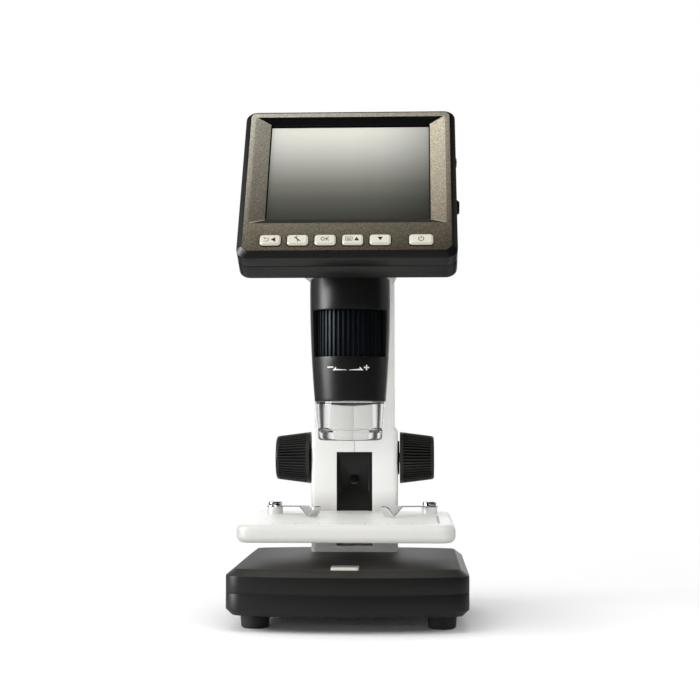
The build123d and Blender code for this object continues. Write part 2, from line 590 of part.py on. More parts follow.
def make_column():
    wall = COLUMN_WALL
    shell = column_solid(0.0) - column_solid(wall)
    shell -= block(-SLOT_HALF, SLOT_HALF, COLUMN_FRONT_Y - 1, COLUMN_FRONT_Y + wall + 1,
                   SLOT_BOTTOM_Z, SLOT_TOP_Z)
    shell -= disc(TUBE_NECK_RADIUS, ARM_UNDER_Z - 1, ARM_UNDER_Z + wall)
    for side in (-1, 1):
        edge = side * COLUMN_LOWER_HALF
        shell -= cross_disc(BUSH_RADIUS, min(edge, 0), max(edge, 0), SHAFT_Y, SHAFT_Z)
    cable_way = Pos(0, CABLE_HOLE_V, -HEAD_THICKNESS - wall - 1) * Cylinder(
        CABLE_HOLE_RADIUS, wall + 1, align=CENTRED)
    shell -= HEAD.location * cable_way
    mount_screws = []
    for u in (-MOUNT_SCREW_U, MOUNT_SCREW_U):
        for v in MOUNT_SCREW_VS:
            seat = HEAD.location * Pos(u, v, -HEAD_THICKNESS - wall - 1)
            shell -= seat * Cylinder(SCREW_RADIUS, wall + 1, align=CENTRED)
            screw = Pos(u, v, -HEAD_THICKNESS - wall - SCREW_HEAD_HEIGHT) * Cylinder(
                SCREW_HEAD_RADIUS, SCREW_HEAD_HEIGHT, align=CENTRED)
            screw += Pos(u, v, -HEAD_THICKNESS - wall) * Cylinder(
                SCREW_RADIUS, wall + MOUNT_SCREW_BITE, align=CENTRED)
            mount_screws.append(HEAD.location * screw)

    outer = column_solid(0.0)
    halves = {}
    screws = []
    for name, side in (("column_left_shell", -1), ("column_right_shell", 1)):
        x0, x1 = (SEAM_GAP / 2, 60) if side > 0 else (-60, -SEAM_GAP / 2)
        half = shell & block(x0, x1, -60, 100, 0, 260)
        ledge_x = sorted((side * ROD_LEDGE_INNER_X, side * (COLUMN_UPPER_HALF - 1.0)))
        half += block(*ledge_x, COLUMN_FRONT_Y + COLUMN_SETBACK + 1.0, ROD_Y + 4.0,
                      ROD_TOP_Z - ROD_LEDGE, ROD_TOP_Z)
        half -= disc(ROD_RADIUS, BASE_TOP_Z + ROD_FOOT, ROD_TOP_Z, side * ROD_X, ROD_Y)
        half += disc(COLUMN_PEG_RADIUS, BASE_TOP_Z - BASE_ROOF + 0.4, BASE_TOP_Z + 0.5,
                     side * COLUMN_PEG_X, COLUMN_FRONT_Y + 5.0)
        post_x, post_y = column_post_places()[0 if side < 0 else 1]
        half += disc(BOSS_RADIUS, BASE_TOP_Z, BASE_TOP_Z + COLUMN_POST_HEIGHT, post_x, post_y)
        half -= disc(SCREW_RADIUS, BASE_TOP_Z, BASE_TOP_Z + COLUMN_POST_HEIGHT - SCREW_SINK, post_x, post_y)
        for y, z in COLUMN_SCREW_PLACES:
            rim = COLUMN_LOWER_HALF if z < SHOULDER_Z else COLUMN_UPPER_HALF
            low_x, high_x = sorted((0, side * (rim + 5)))
            half += cross_disc(BOSS_RADIUS, low_x, high_x, y, z) & outer
            if side > 0:
                head_x = rim - 1.0 - SCREW_HEAD_HEIGHT
                half -= cross_disc(SCREW_HEAD_RADIUS + BODY_GAP, head_x, rim + 5, y, z)
                half -= cross_disc(SCREW_RADIUS, 0, rim, y, z)
                screw = cross_disc(SCREW_HEAD_RADIUS, head_x, head_x + SCREW_HEAD_HEIGHT, y, z)
                screw -= cross_disc(DRIVER_RADIUS, head_x + SCREW_HEAD_HEIGHT - DRIVER_DEPTH,
                                    head_x + SCREW_HEAD_HEIGHT, y, z)
                screws.append(screw + cross_disc(SCREW_RADIUS, -10.0, head_x, y, z))
            else:
                half -= cross_disc(SCREW_RADIUS, -10.0, 0, y, z)
        halves[name] = half
    PARTS.update(halves)
    PARTS["column_screws"] = screws
    PARTS["head_mount_screws"] = mount_screws
    ceiling = BASE_TOP_Z - BASE_ROOF
    PARTS["column_base_screws"] = [
        upright_screw(x, y, ceiling - SCREW_HEAD_HEIGHT, BASE_TOP_Z + COLUMN_POST_HEIGHT - SCREW_SINK)
        for x, y in column_post_places()]
    PARTS["guide_rods"] = [
        disc(ROD_RADIUS, BASE_TOP_Z + ROD_FOOT, ROD_TOP_Z, side * ROD_X, ROD_Y) for side in (-1, 1)]


# --- Focus drive ---
def gear_outline(teeth, module, thinning):
    """An involute gear's outline, with a tooth pointing along +X."""
    pitch_r = module * teeth / 2
    base_r = pitch_r * math.cos(math.radians(PRESSURE_ANGLE))
    tip_r = pitch_r + module
    root_r = pitch_r - GEAR_DEDENDUM
    start_r = max(base_r, root_r)

    def roll(radius):
        angle = math.acos(min(1.0, base_r / radius))
        return math.tan(angle) - angle

    half_at_pitch = math.pi / (2 * teeth) - thinning / (2 * pitch_r)
    steps = 5
    points = []
    for tooth in range(teeth):
        centre = 2 * math.pi * tooth / teeth
        flank = []
        for i in range(steps + 1):
            radius = start_r + (tip_r - start_r) * i / steps
            half = half_at_pitch + roll(pitch_r) - roll(radius)
            flank.append((radius, half))
        root_half = flank[0][1]
        rising = [(root_r, -root_half)] + [(radius, -half) for radius, half in flank]
        falling = [(radius, -angle) for radius, angle in reversed(rising)]
        for radius, angle in rising + falling:
            points.append((radius * math.cos(centre + angle), radius * math.sin(centre + angle)))
    return make_face(Polyline(*points, close=True))


def ribbed_outline(radius, ribs, depth):
    """A circle with flat-topped ribs round it."""
    points = []
    for rib in range(ribs):
        centre = 2 * math.pi * rib / ribs
        step = math.pi / ribs
        for offset_part, reach in ((-0.55, 0.0), (-0.3, depth), (0.3, depth), (0.55, 0.0)):
            angle = centre + offset_part * step
            points.append(((radius - depth + reach) * math.cos(angle),
                           (radius - depth + reach) * math.sin(angle)))
    return make_face(Polyline(*points, close=True))


def make_knob(side):
    """One focus knob, made along +Z from its big end, then turned onto the shaft."""
    length = KNOB_OUTER_X - KNOB_INNER_X
    slope = (KNOB_BIG_RADIUS - KNOB_SMALL_RADIUS) / length
    rib_end = length - KNOB_END_ROUND - 0.4
    rib_end_radius = KNOB_BIG_RADIUS - slope * rib_end
    rim = Cone(KNOB_BIG_RADIUS, KNOB_BIG_RADIUS - slope * KNOB_RIM, KNOB_RIM, align=CENTRED)
    grip = loft([
        Pos(0, 0, KNOB_RIM) * ribbed_outline(KNOB_BIG_RADIUS - slope * KNOB_RIM, KNOB_RIBS, KNOB_RIB_DEPTH),
        Pos(0, 0, rib_end) * ribbed_outline(rib_end_radius, KNOB_RIBS, KNOB_RIB_DEPTH)], ruled=True)
    end = Pos(0, 0, rib_end) * Cone(rib_end_radius, KNOB_SMALL_RADIUS, length - rib_end, align=CENTRED)
    end = fillet(end.edges().group_by(Axis.Z)[-1], KNOB_END_ROUND)
    knob = rim + grip + end
    knob -= disc(SHAFT_RADIUS, 0, KNOB_BORE_DEPTH)
    return Pos(side * KNOB_INNER_X, SHAFT_Y, SHAFT_Z) * Rot(0, side * 90, 0) * knob


def make_drive():
    shaft_end = KNOB_INNER_X + KNOB_BORE_DEPTH
    PARTS["pinion_shaft"] = cross_disc(SHAFT_RADIUS, -shaft_end, shaft_end, SHAFT_Y, SHAFT_Z)
    gear = extrude(gear_outline(PINION_TEETH, GEAR_MODULE, BACKLASH), 2 * PINION_HALF_WIDTH)
    gear += disc(PINION_RADIUS - GEAR_DEDENDUM, 2 * PINION_HALF_WIDTH, 2 * PINION_HALF_WIDTH + GEAR_HUB)
    gear -= disc(SHAFT_RADIUS, 0, 2 * PINION_HALF_WIDTH + GEAR_HUB)
    # A tooth along +X goes to -Y, towards the rack, once the gear's Z lies along X.
    facing = Rot(0, 90, 0) * Rot(0, 0, -90) * gear
    PARTS["pinion_gear"] = Pos(-PINION_HALF_WIDTH, SHAFT_Y, SHAFT_Z) * facing
    for name, side in (("left_knob", -1), ("right_knob", 1)):
        PARTS[name] = make_knob(side)
    for name, side in (("left_shaft_bush", -1), ("right_shaft_bush", 1)):
        edge = COLUMN_LOWER_HALF
        inner = edge - COLUMN_WALL - BUSH_INSIDE
        low, high = sorted((side * inner, side * edge))
        bush = cross_disc(BUSH_RADIUS, low, high, SHAFT_Y, SHAFT_Z)
        low, high = sorted((side * edge, side * (edge + BUSH_FLANGE)))
        bush += cross_disc(BUSH_FLANGE_RADIUS, low, high, SHAFT_Y, SHAFT_Z)
        PARTS[name] = bush - cross_disc(SHAFT_RADIUS + RUNNING_CLEARANCE, -60, 60, SHAFT_Y, SHAFT_Z)


def make_carriage():
    front = CARRIAGE_FRONT_Y
    plate_back = front + CARRIAGE_PLATE
    sleeve_back = ROD_Y + ROD_RADIUS + SLEEVE_WALL
    relief = ROD_RADIUS + 0.4
    body = block(-CARRIAGE_HALF, CARRIAGE_HALF, front, plate_back, CARRIAGE_BOTTOM_Z, CARRIAGE_TOP_Z)
    for side in (-1, 1):
        x0, x1 = sorted((side * (ROD_X - SLEEVE_INNER), side * CARRIAGE_HALF))
        for z0 in (CARRIAGE_BOTTOM_Z, CARRIAGE_TOP_Z - BEARING_LAND):
            body += block(x0, x1, front, sleeve_back, z0, z0 + BEARING_LAND)
        body -= disc(ROD_RADIUS + RUNNING_CLEARANCE, CARRIAGE_BOTTOM_Z, CARRIAGE_TOP_Z,
                     side * ROD_X, ROD_Y)
    for side in (-1, 1):
        x0, x1 = sorted((side * (ROD_X - relief), side * (ROD_X + relief)))
        body -= block(x0, x1, ROD_Y - ROD_RADIUS - BODY_GAP, ROD_Y, CARRIAGE_BOTTOM_Z + BEARING_LAND,
                      CARRIAGE_TOP_Z - BEARING_LAND)
    body -= block(-PANEL_HALF, PANEL_HALF, front, front + PANEL_DEPTH,
                  CARRIAGE_BOTTOM_Z + PANEL_LOW, CARRIAGE_BOTTOM_Z + PANEL_HIGH)
    body -= Pos(0, front, CARRIAGE_SCREW_Z) * Rot(-90, 0, 0) * Cylinder(
        CARRIAGE_SHANK_RADIUS, CARRIAGE_PLATE, align=CENTRED)
    PARTS["carriage"] = body
    head_y = front + PANEL_DEPTH
    screw = Pos(0, head_y, CARRIAGE_SCREW_Z) * Rot(90, 0, 0) * Cylinder(
        CARRIAGE_SCREW_RADIUS, PANEL_DEPTH + 0.1, align=CENTRED)
    screw += Pos(0, head_y, CARRIAGE_SCREW_Z) * Rot(-90, 0, 0) * Cylinder(
        CARRIAGE_SHANK_RADIUS, CARRIAGE_PLATE - PANEL_DEPTH, align=CENTRED)
    PARTS["carriage_screw"] = screw

    pitch = math.pi * GEAR_MODULE
    tip_y = RACK_PITCH_Y + RACK_ADDENDUM
    root_y = RACK_PITCH_Y - GEAR_DEDENDUM
    lean = math.tan(math.radians(PRESSURE_ANGLE))
    half_pitch_line = pitch / 4 - BACKLASH / 2
    tip_half = half_pitch_line - RACK_ADDENDUM * lean
    root_half = half_pitch_line + GEAR_DEDENDUM * lean
    low_z = SHAFT_Z - STAGE_RISE - RACK_END
    high_z = SHAFT_Z + STAGE_DROP + RACK_END
    rack = block(-RACK_HALF_WIDTH, RACK_HALF_WIDTH, plate_back, root_y, low_z, high_z)
    first = math.ceil((low_z + root_half - SHAFT_Z) / pitch - 0.5)
    last = math.floor((high_z - root_half - SHAFT_Z) / pitch - 0.5)
    for tooth in range(first, last + 1):
        z = SHAFT_Z + (tooth + 0.5) * pitch
        face = make_face(Polyline((root_y, z - root_half), (tip_y, z - tip_half),
                                  (tip_y, z + tip_half), (root_y, z + root_half), close=True))
        rack += extrude(Plane.YZ * face, RACK_HALF_WIDTH, both=True)
    PARTS["focus_rack"] = rack


# --- Stage ---
def make_stage():
    depth = STAGE_BACK_Y - STAGE_FRONT_Y
    middle_y = (STAGE_BACK_Y + STAGE_FRONT_Y) / 2
    plate = slab(STAGE_WIDTH, depth, STAGE_CORNER_RADIUS, STAGE_BOTTOM_Z, STAGE_TOP_Z, 0, middle_y)
    rims = plate.edges().group_by(Axis.Z)
    plate = fillet(rims[0] + rims[-1], STAGE_EDGE_ROUND)
    screws = []
    for side in (-1, 1):
        x = side * CLIP_X
        boss_top = STAGE_TOP_Z + CLIP_BOSS_HEIGHT
        plate += disc(CLIP_BOSS_RADIUS, STAGE_TOP_Z - 1.0, boss_top, x, CLIP_Y)
        plate -= disc(CLIP_SCREW_RADIUS, STAGE_BOTTOM_Z + CLIP_SCREW_FLOOR, boss_top, x, CLIP_Y)
        head_low = boss_top + 2 * CLIP_GAP + CLIP_THICKNESS
        head = disc(CLIP_HEAD_RADIUS, head_low, head_low + CLIP_HEAD_HEIGHT, x, CLIP_Y)
        head_top = head_low + CLIP_HEAD_HEIGHT
        head = fillet(head.edges().group_by(Axis.Z)[-1], CLIP_HEAD_ROUND)
        head -= block(x - CLIP_DRIVER_LENGTH / 2, x + CLIP_DRIVER_LENGTH / 2, CLIP_Y - CLIP_DRIVER_WIDTH / 2,
                      CLIP_Y + CLIP_DRIVER_WIDTH / 2, head_top - CLIP_DRIVER_DEPTH, head_top)
        screws.append(head + disc(CLIP_SCREW_RADIUS, STAGE_BOTTOM_Z + CLIP_SCREW_FLOOR, head_low, x, CLIP_Y))
    PARTS["clip_screws"] = screws

    low = STAGE_BOTTOM_Z - BRACKET_THICKNESS
    neck_top = STAGE_TOP_Z - BRACKET_NECK_DROP
    bracket = block(-BRACKET_HALF, BRACKET_HALF, BRACKET_FRONT_Y, COLUMN_FRONT_Y - 2.0, low, STAGE_BOTTOM_Z)
    bracket += block(-BRACKET_NECK_HALF, BRACKET_NECK_HALF, STAGE_BACK_Y + 0.2, CARRIAGE_FRONT_Y,
                     neck_top - BRACKET_NECK_DEPTH, neck_top)
    fixings = []
    for x in (-STAGE_SCREW_X, STAGE_SCREW_X):
        for y in STAGE_SCREW_YS:
            bracket -= disc(SCREW_HEAD_RADIUS, low, low + SCREW_HEAD_HEIGHT, x, y)
            bracket -= disc(SCREW_RADIUS, low, STAGE_BOTTOM_Z, x, y)
            plate -= disc(SCREW_RADIUS, STAGE_BOTTOM_Z, STAGE_BOTTOM_Z + STAGE_SCREW_BITE, x, y)
            fixings.append(upright_screw(x, y, low, STAGE_BOTTOM_Z + STAGE_SCREW_BITE))
    PARTS["stage_plate"] = plate
    PARTS["stage_bracket"] = bracket
    PARTS["stage_screws"] = fixings


def make_clip():
    """A clip lying along +X from its eye at the origin, bottom of the eye at z=0."""
    half = CLIP_THICKNESS / 2
    drop = CLIP_BOSS_HEIGHT - CLIP_GAP
    path = FilletPolyline((0, 0, half), (CLIP_BEND, 0, half + CLIP_RISE), (CLIP_REACH, 0, half - drop),
                          (CLIP_TAB_REACH, 0, half - drop + CLIP_TAB_RISE), radius=CLIP_BEND_RADIUS)
    start = path.edges()[0]
    section = Plane(origin=start @ 0, x_dir=(0, 1, 0), z_dir=start % 0) * Rectangle(CLIP_WIDTH, CLIP_THICKNESS)
    strip = sweep(section, path=path)
    tip = strip.faces().sort_by(Axis.X)[-1]
    corners = tip.edges().sort_by(SortBy.LENGTH)[:2]
    strip = fillet(corners, CLIP_END_RADIUS)
    eye = disc(CLIP_EYE_RADIUS, 0, CLIP_THICKNESS)
    strip -= block(-1, CLIP_EYE_RADIUS - 0.6, -CLIP_WIDTH, CLIP_WIDTH, -1, 2)
    bore = disc(CLIP_SCREW_RADIUS + CLIP_BORE_CLEARANCE, -1, 2)
    return strip + eye - bore


def make_clips():
    clip = make_clip()
    eye_z = STAGE_TOP_Z + CLIP_BOSS_HEIGHT + CLIP_GAP
    PARTS["left_clip"] = Pos(-CLIP_X, CLIP_Y, eye_z) * Rot(0, 0, -LEFT_CLIP_ANGLE) * clip
    PARTS["right_clip"] = Pos(CLIP_X, CLIP_Y, eye_z) * Rot(0, 0, 180 + RIGHT_CLIP_ANGLE) * clip


# --- Tube ---
def make_tube():
    bore = RING_RADIUS + BODY_GAP
    ring_floor = WINDOW_LOW_Z - RING_OVERLAP - BODY_GAP
    ring_low = WINDOW_LOW_Z - RING_OVERLAP
    ring_high = WINDOW_HIGH_Z + RING_OVERLAP
    retainer_low = ring_high + BODY_GAP
    retainer_high = retainer_low + RETAINER_HEIGHT
    flange_low = ARM_UNDER_Z + COLUMN_WALL
    top = flange_low + TUBE_FLANGE
    skin = [
        Line((0, TUBE_BOTTOM_Z), (TUBE_BOTTOM_RADIUS, TUBE_BOTTOM_Z)),
        ThreePointArc((TUBE_BOTTOM_RADIUS, TUBE_BOTTOM_Z), (TUBE_MIDDLE_RADIUS, TUBE_MIDDLE_Z),
                      (TUBE_TOP_RADIUS, TUBE_TOP_Z)),
        Line((TUBE_TOP_RADIUS, TUBE_TOP_Z), (0, TUBE_TOP_Z)),
        Line((0, TUBE_TOP_Z), (0, TUBE_BOTTOM_Z)),
    ]
    housing = revolve(Plane.XZ * make_face(skin), axis=Axis.Z)
    housing += disc(TUBE_NECK_RADIUS, TUBE_TOP_Z, flange_low)
    housing += disc(TUBE_FLANGE_RADIUS, flange_low, top)
    housing -= disc(bore, ring_floor, top)
    housing -= disc(LOWER_BORE_RADIUS, TUBE_BOTTOM_Z, ring_floor)
    housing -= disc(LED_RECESS_RADIUS, TUBE_BOTTOM_Z, LED_RECESS_TOP_Z)
    reach = 2 * TUBE_TOP_RADIUS
    spread = reach * math.tan(math.radians(WINDOW_ANGLE))
    for facing in (-1, 1):
        wedge = make_face(Polyline((0, 0), (spread, facing * reach), (-spread, facing * reach), close=True))
        housing -= Pos(0, 0, WINDOW_LOW_Z) * extrude(wedge, WINDOW_HIGH_Z - WINDOW_LOW_Z)
    # The flange's front is trimmed to lie inside the arm, behind the head.
    trim = HEAD.location * Pos(0, 0, -HEAD_THICKNESS - COLUMN_WALL - 0.2) * Box(200, 200, 200, align=CENTRED)
    housing -= trim & disc(TUBE_FLANGE_RADIUS + 1, flange_low - 6, top + 1)

    barrel_radius = RING_BORE_RADIUS - BODY_GAP
    key_reach = barrel_radius - BARREL_KEY_REACH / 2 + 0.4
    barrel = disc(barrel_radius, BARREL_BOTTOM_Z, BARREL_TOP_Z) - disc(
        BARREL_BORE_RADIUS, BARREL_BOTTOM_Z, BARREL_TOP_Z)
    for side in (-1, 1):
        x0, x1 = sorted((side * key_reach, side * (LOWER_BORE_RADIUS + 0.6)))
        key = block(x0, x1, -BARREL_KEY_HALF, BARREL_KEY_HALF, LED_RECESS_TOP_Z, ring_floor)
        housing += key
        wide = BARREL_KEY_HALF + BODY_GAP
        x0, x1 = sorted((side * (key_reach - BODY_GAP), side * (LOWER_BORE_RADIUS + 1)))
        barrel -= block(x0, x1, -wide, wide, BARREL_BOTTOM_Z, ring_floor + BARREL_SLOT_OVERRUN)
    lens_seats = (BARREL_BOTTOM_Z + LENS_LIP, BARREL_TOP_Z - LENS_LIP - LENS_THICKNESS)
    seat_radius = BARREL_BORE_RADIUS + LENS_SEAT
    lenses = []
    for z in lens_seats:
        barrel -= disc(seat_radius, z, z + LENS_THICKNESS)
        lenses.append(disc(seat_radius, z, z + LENS_THICKNESS))

    ring = extrude(Pos(0, 0, ring_low) * ribbed_outline(RING_RADIUS, RING_RIBS, RING_RIB_DEPTH),
                   ring_high - ring_low)
    ring -= disc(RING_BORE_RADIUS, ring_low, ring_high)
    retainer = disc(bore, retainer_low, retainer_high) - disc(RETAINER_BORE_RADIUS, retainer_low, retainer_high)
    board = disc(SENSOR_BOARD_RADIUS, retainer_high, retainer_high + SENSOR_BOARD_THICKNESS)
    board += block(-SENSOR_WIDTH / 2, SENSOR_WIDTH / 2, -SENSOR_DEPTH / 2, SENSOR_DEPTH / 2,
                   retainer_high - SENSOR_THICKNESS, retainer_high)
    led_board = disc(LED_RECESS_RADIUS, LED_RECESS_TOP_Z - LED_BOARD_THICKNESS, LED_RECESS_TOP_Z)
    led_board -= disc(BARREL_BORE_RADIUS, LED_RECESS_TOP_Z - LED_BOARD_THICKNESS, LED_RECESS_TOP_Z)
    led_top = LED_RECESS_TOP_Z - LED_BOARD_THICKNESS
    lamps = []
    for lamp in range(LED_COUNT):
        angle = 2 * math.pi * (lamp + 0.5) / LED_COUNT
        lamps.append(disc(LED_RADIUS, led_top - LED_HEIGHT, led_top,
                          LED_CIRCLE_RADIUS * math.cos(angle), LED_CIRCLE_RADIUS * math.sin(angle)))
    PARTS["tube_housing"] = housing
    PARTS["focus_ring"] = ring
    PARTS["ring_retainer"] = retainer
    PARTS["lens_barrel"] = barrel
    PARTS["barrel_lenses"] = lenses
    PARTS["sensor_board"] = board
    PARTS["led_board"] = led_board
    PARTS["led_lamps"] = lamps


def make_cap():
    slope = (CAP_TOP_RADIUS - CAP_BOTTOM_RADIUS) / (TUBE_BOTTOM_Z - CAP_BOTTOM_Z)
    ring_inner = CAP_BOTTOM_RADIUS + slope * (CAP_RING_TOP_Z - CAP_BOTTOM_Z) - CAP_WALL
    cap = Pos(0, 0, CAP_BOTTOM_Z) * Cone(CAP_BOTTOM_RADIUS, CAP_TOP_RADIUS,
                                         TUBE_BOTTOM_Z - CAP_BOTTOM_Z, align=CENTRED)
    cap = fillet(cap.edges().group_by(Axis.Z)[0], CAP_CORNER_ROUND)
    cap += disc(CAP_SPIGOT_RADIUS, TUBE_BOTTOM_Z, TUBE_BOTTOM_Z + CAP_SPIGOT_HEIGHT)
    cap -= Pos(0, 0, CAP_RING_TOP_Z) * Cone(ring_inner, CAP_SPIGOT_BORE_RADIUS,
                                            TUBE_BOTTOM_Z - CAP_RING_TOP_Z, align=CENTRED)
    cap -= disc(CAP_SPIGOT_BORE_RADIUS, TUBE_BOTTOM_Z, TUBE_BOTTOM_Z + CAP_SPIGOT_HEIGHT)
    cap -= disc(CAP_RING_BORE_RADIUS, CAP_BOTTOM_Z, CAP_RING_TOP_Z)
    PARTS["clear_cap"] = cap


# --- Display head ---
def head_slab(width, height, radius, w0, w1, v=FACE_CENTRE_V, u=0):
    return slab(width, height, radius, w0, w1, u, v)


def face_outline(inset=0.0):
    """The front face's outline: round corners at the top, clipped ones at the bottom."""
    outline = Rectangle(FACE_WIDTH, FACE_HEIGHT).face()
    outline = fillet(outline.vertices().group_by(Axis.Y)[-1], HEAD_CORNER_RADIUS - HEAD_CHAMFER)
    outline = chamfer(outline.vertices().group_by(Axis.Y)[0], FACE_CLIP)
    if inset:
        outline = offset(outline, -inset, kind=Kind.INTERSECTION)
    return Pos(0, FACE_CENTRE_V) * outline


def key_centres():
    """Each key's name, middle and width."""
    row = [(name, FIRST_KEY_U + i * KEY_PITCH, KEY_WIDTH) for i, name in enumerate(KEY_NAMES[:-1])]
    return row + [(KEY_NAMES[-1], POWER_KEY_U, POWER_KEY_WIDTH)]


def make_head():
    outer = (HEAD_OUTER_WIDTH, HEAD_OUTER_HEIGHT, HEAD_CORNER_RADIUS)
    tail = (HEAD_OUTER_WIDTH - 2 * HEAD_BACK_CHAMFER, HEAD_OUTER_HEIGHT - 2 * HEAD_BACK_CHAMFER,
            HEAD_CORNER_RADIUS - HEAD_BACK_CHAMFER)
    inner = (HEAD_OUTER_WIDTH - 2 * HEAD_WALL, HEAD_OUTER_HEIGHT - 2 * HEAD_WALL,
             HEAD_CORNER_RADIUS - HEAD_WALL)
    floor_w = -BEZEL_DEPTH
    web_w = floor_w - BEZEL_SKIN
    back_w = -HEAD_THICKNESS
    rear_inner_w = back_w + HEAD_WALL

    front = head_slab(*outer, HEAD_PARTING_W, -HEAD_CHAMFER)
    front += loft([Pos(0, FACE_CENTRE_V, -HEAD_CHAMFER) * RectangleRounded(*outer), face_outline()],
                  ruled=True)
    pocket = face_outline(BEZEL_MARGIN / 2)
    front -= Pos(0, 0, floor_w) * extrude(pocket, BEZEL_DEPTH + 1)
    front -= head_slab(*inner, HEAD_PARTING_W, web_w)
    glass_w = LCD_WIDTH + 2 * LCD_LAP
    glass_h = LCD_HEIGHT + 2 * LCD_LAP
    front -= head_slab(glass_w, glass_h, 0.5, HEAD_PARTING_W, 0, LCD_CENTRE_V)
    board_w = POWER_KEY_U - FIRST_KEY_U + POWER_KEY_WIDTH
    board_u = (POWER_KEY_U + FIRST_KEY_U) / 2
    front -= head_slab(board_w, KEY_HEIGHT + KEY_BOARD_MARGIN, 1.0, HEAD_PARTING_W, 0, KEY_V, board_u)
    groove = head_slab(*outer, HEAD_PARTING_W, HEAD_PARTING_W + PARTING_GROOVE)
    groove -= head_slab(outer[0] - 2 * PARTING_GROOVE, outer[1] - 2 * PARTING_GROOVE,
                        HEAD_CORNER_RADIUS - PARTING_GROOVE, HEAD_PARTING_W, HEAD_PARTING_W + PARTING_GROOVE)
    front -= groove

    rear = head_slab(*outer, back_w + HEAD_BACK_CHAMFER, HEAD_PARTING_W)
    rear += funnel(tail, outer, back_w, back_w + HEAD_BACK_CHAMFER, 0, FACE_CENTRE_V)
    rear -= head_slab(*inner, rear_inner_w, HEAD_PARTING_W, FACE_CENTRE_V)
    rear -= Pos(0, CABLE_HOLE_V, back_w - 1) * Cylinder(CABLE_HOLE_RADIUS, HEAD_WALL + 2, align=CENTRED)

    screws = []
    for u in (-HEAD_SCREW_U, HEAD_SCREW_U):
        for v in HEAD_SCREW_VS:
            front += disc(BOSS_RADIUS, HEAD_PARTING_W, floor_w - 0.2, u, v) & head_slab(*outer, -19, 0)
            rear += disc(BOSS_RADIUS, rear_inner_w - 1, HEAD_PARTING_W, u, v) & head_slab(*outer, -19, 0)
            rear -= disc(SCREW_HEAD_RADIUS + 0.1, back_w, back_w + SCREW_SINK, u, v)
            rear -= disc(SCREW_RADIUS, back_w, HEAD_PARTING_W, u, v)
            front -= disc(SCREW_RADIUS, HEAD_PARTING_W, web_w, u, v)
            head_w = back_w + SCREW_SINK - SCREW_HEAD_HEIGHT
            screws.append(HEAD.location * upright_screw(u, v, head_w, web_w))
    for u in (-MOUNT_SCREW_U, MOUNT_SCREW_U):
        for v in MOUNT_SCREW_VS:
            rear += disc(BOSS_RADIUS, rear_inner_w, back_w + MOUNT_POST_HEIGHT, u, v)
            rear -= disc(SCREW_RADIUS, back_w, back_w + MOUNT_SCREW_BITE, u, v)

    dimmer_u = HEAD_OUTER_WIDTH / 2 + DIMMER_PROUD - DIMMER_RADIUS
    wheel_low = DIMMER_W - DIMMER_WIDTH / 2
    rear -= disc(DIMMER_RADIUS + BODY_GAP, wheel_low - BODY_GAP, HEAD_PARTING_W, dimmer_u, DIMMER_V)
    button_axis = Pos(0, SIDE_BUTTON_V, SIDE_BUTTON_W) * Rot(0, 90, 0)
    rear -= button_axis * Cylinder(SIDE_BUTTON_RADIUS + BODY_GAP, 60, align=CENTRED)

    window = (LCD_WIDTH, LCD_HEIGHT, 0.4)
    outer_bottom = LCD_CENTRE_V - LCD_HEIGHT / 2 - SLOPE_BOTTOM
    outer_top = LCD_CENTRE_V + LCD_HEIGHT / 2 + SLOPE_TOP
    mouth = (LCD_WIDTH + 2 * SLOPE_SIDE, outer_top - outer_bottom, 1.2)
    bezel = Pos(0, 0, floor_w) * extrude(face_outline(BEZEL_MARGIN / 2 + BEZEL_FIT), BEZEL_DEPTH)
    bezel -= loft([Pos(0, LCD_CENTRE_V, -SLOPE_DEPTH) * RectangleRounded(*window),
                   Pos(0, (outer_top + outer_bottom) / 2, 0) * RectangleRounded(*mouth)], ruled=True)
    bezel -= head_slab(*window, floor_w, -SLOPE_DEPTH, LCD_CENTRE_V)
    shelf_half = FACE_WIDTH / 2 - FACE_CLIP
    bezel -= block(-shelf_half, shelf_half, BEZEL_SHELF_LOW, outer_bottom - BEZEL_SHELF_GAP,
                   floor_w, -BEZEL_SKIN)
    keys = {}
    for name, u, width in key_centres():
        bezel -= head_slab(width + 2 * KEY_GAP, KEY_HEIGHT + 2 * KEY_GAP, KEY_RADIUS + KEY_GAP,
                           floor_w, 0, KEY_V, u)
        flange_top = -BEZEL_SKIN - BODY_GAP
        key = head_slab(width, KEY_HEIGHT, KEY_RADIUS, flange_top, KEY_RISE, KEY_V, u)
        key = chamfer(key.edges().group_by(Axis.Z)[-1], KEY_BEVEL)
        key += head_slab(width + 2 * KEY_FLANGE_LAP, KEY_HEIGHT + 2 * KEY_FLANGE_LAP, KEY_RADIUS,
                         flange_top - KEY_FLANGE, flange_top, KEY_V, u)
        key += disc(KEY_STEM_RADIUS, flange_top - KEY_FLANGE - KEY_STEM, flange_top, u, KEY_V)
        keys[name] = key

    glass_back = floor_w - LCD_GLASS_THICKNESS
    frame_back = glass_back - LCD_FRAME_THICKNESS
    lcd = head_slab(glass_w - 0.2, glass_h - 0.2, 0.5, glass_back, floor_w, LCD_CENTRE_V)
    tray = head_slab(glass_w - 0.2, glass_h - 0.2, 0.5, frame_back, glass_back, LCD_CENTRE_V)
    switch_top = -BEZEL_SKIN - BODY_GAP - KEY_FLANGE - KEY_STEM - KEY_TRAVEL - BODY_GAP
    board_top = switch_top - KEY_SWITCH_HEIGHT
    keyboard = head_slab(board_w - 2 * BODY_GAP, KEY_HEIGHT + KEY_BOARD_MARGIN - 2 * BODY_GAP, 1.0,
                         board_top - BOARD_THICKNESS, board_top, KEY_V, board_u)
    for name, u, width in key_centres():
        keyboard += block(u - KEY_SWITCH_HALF, u + KEY_SWITCH_HALF, KEY_V - KEY_SWITCH_HALF,
                          KEY_V + KEY_SWITCH_HALF, board_top, switch_top)

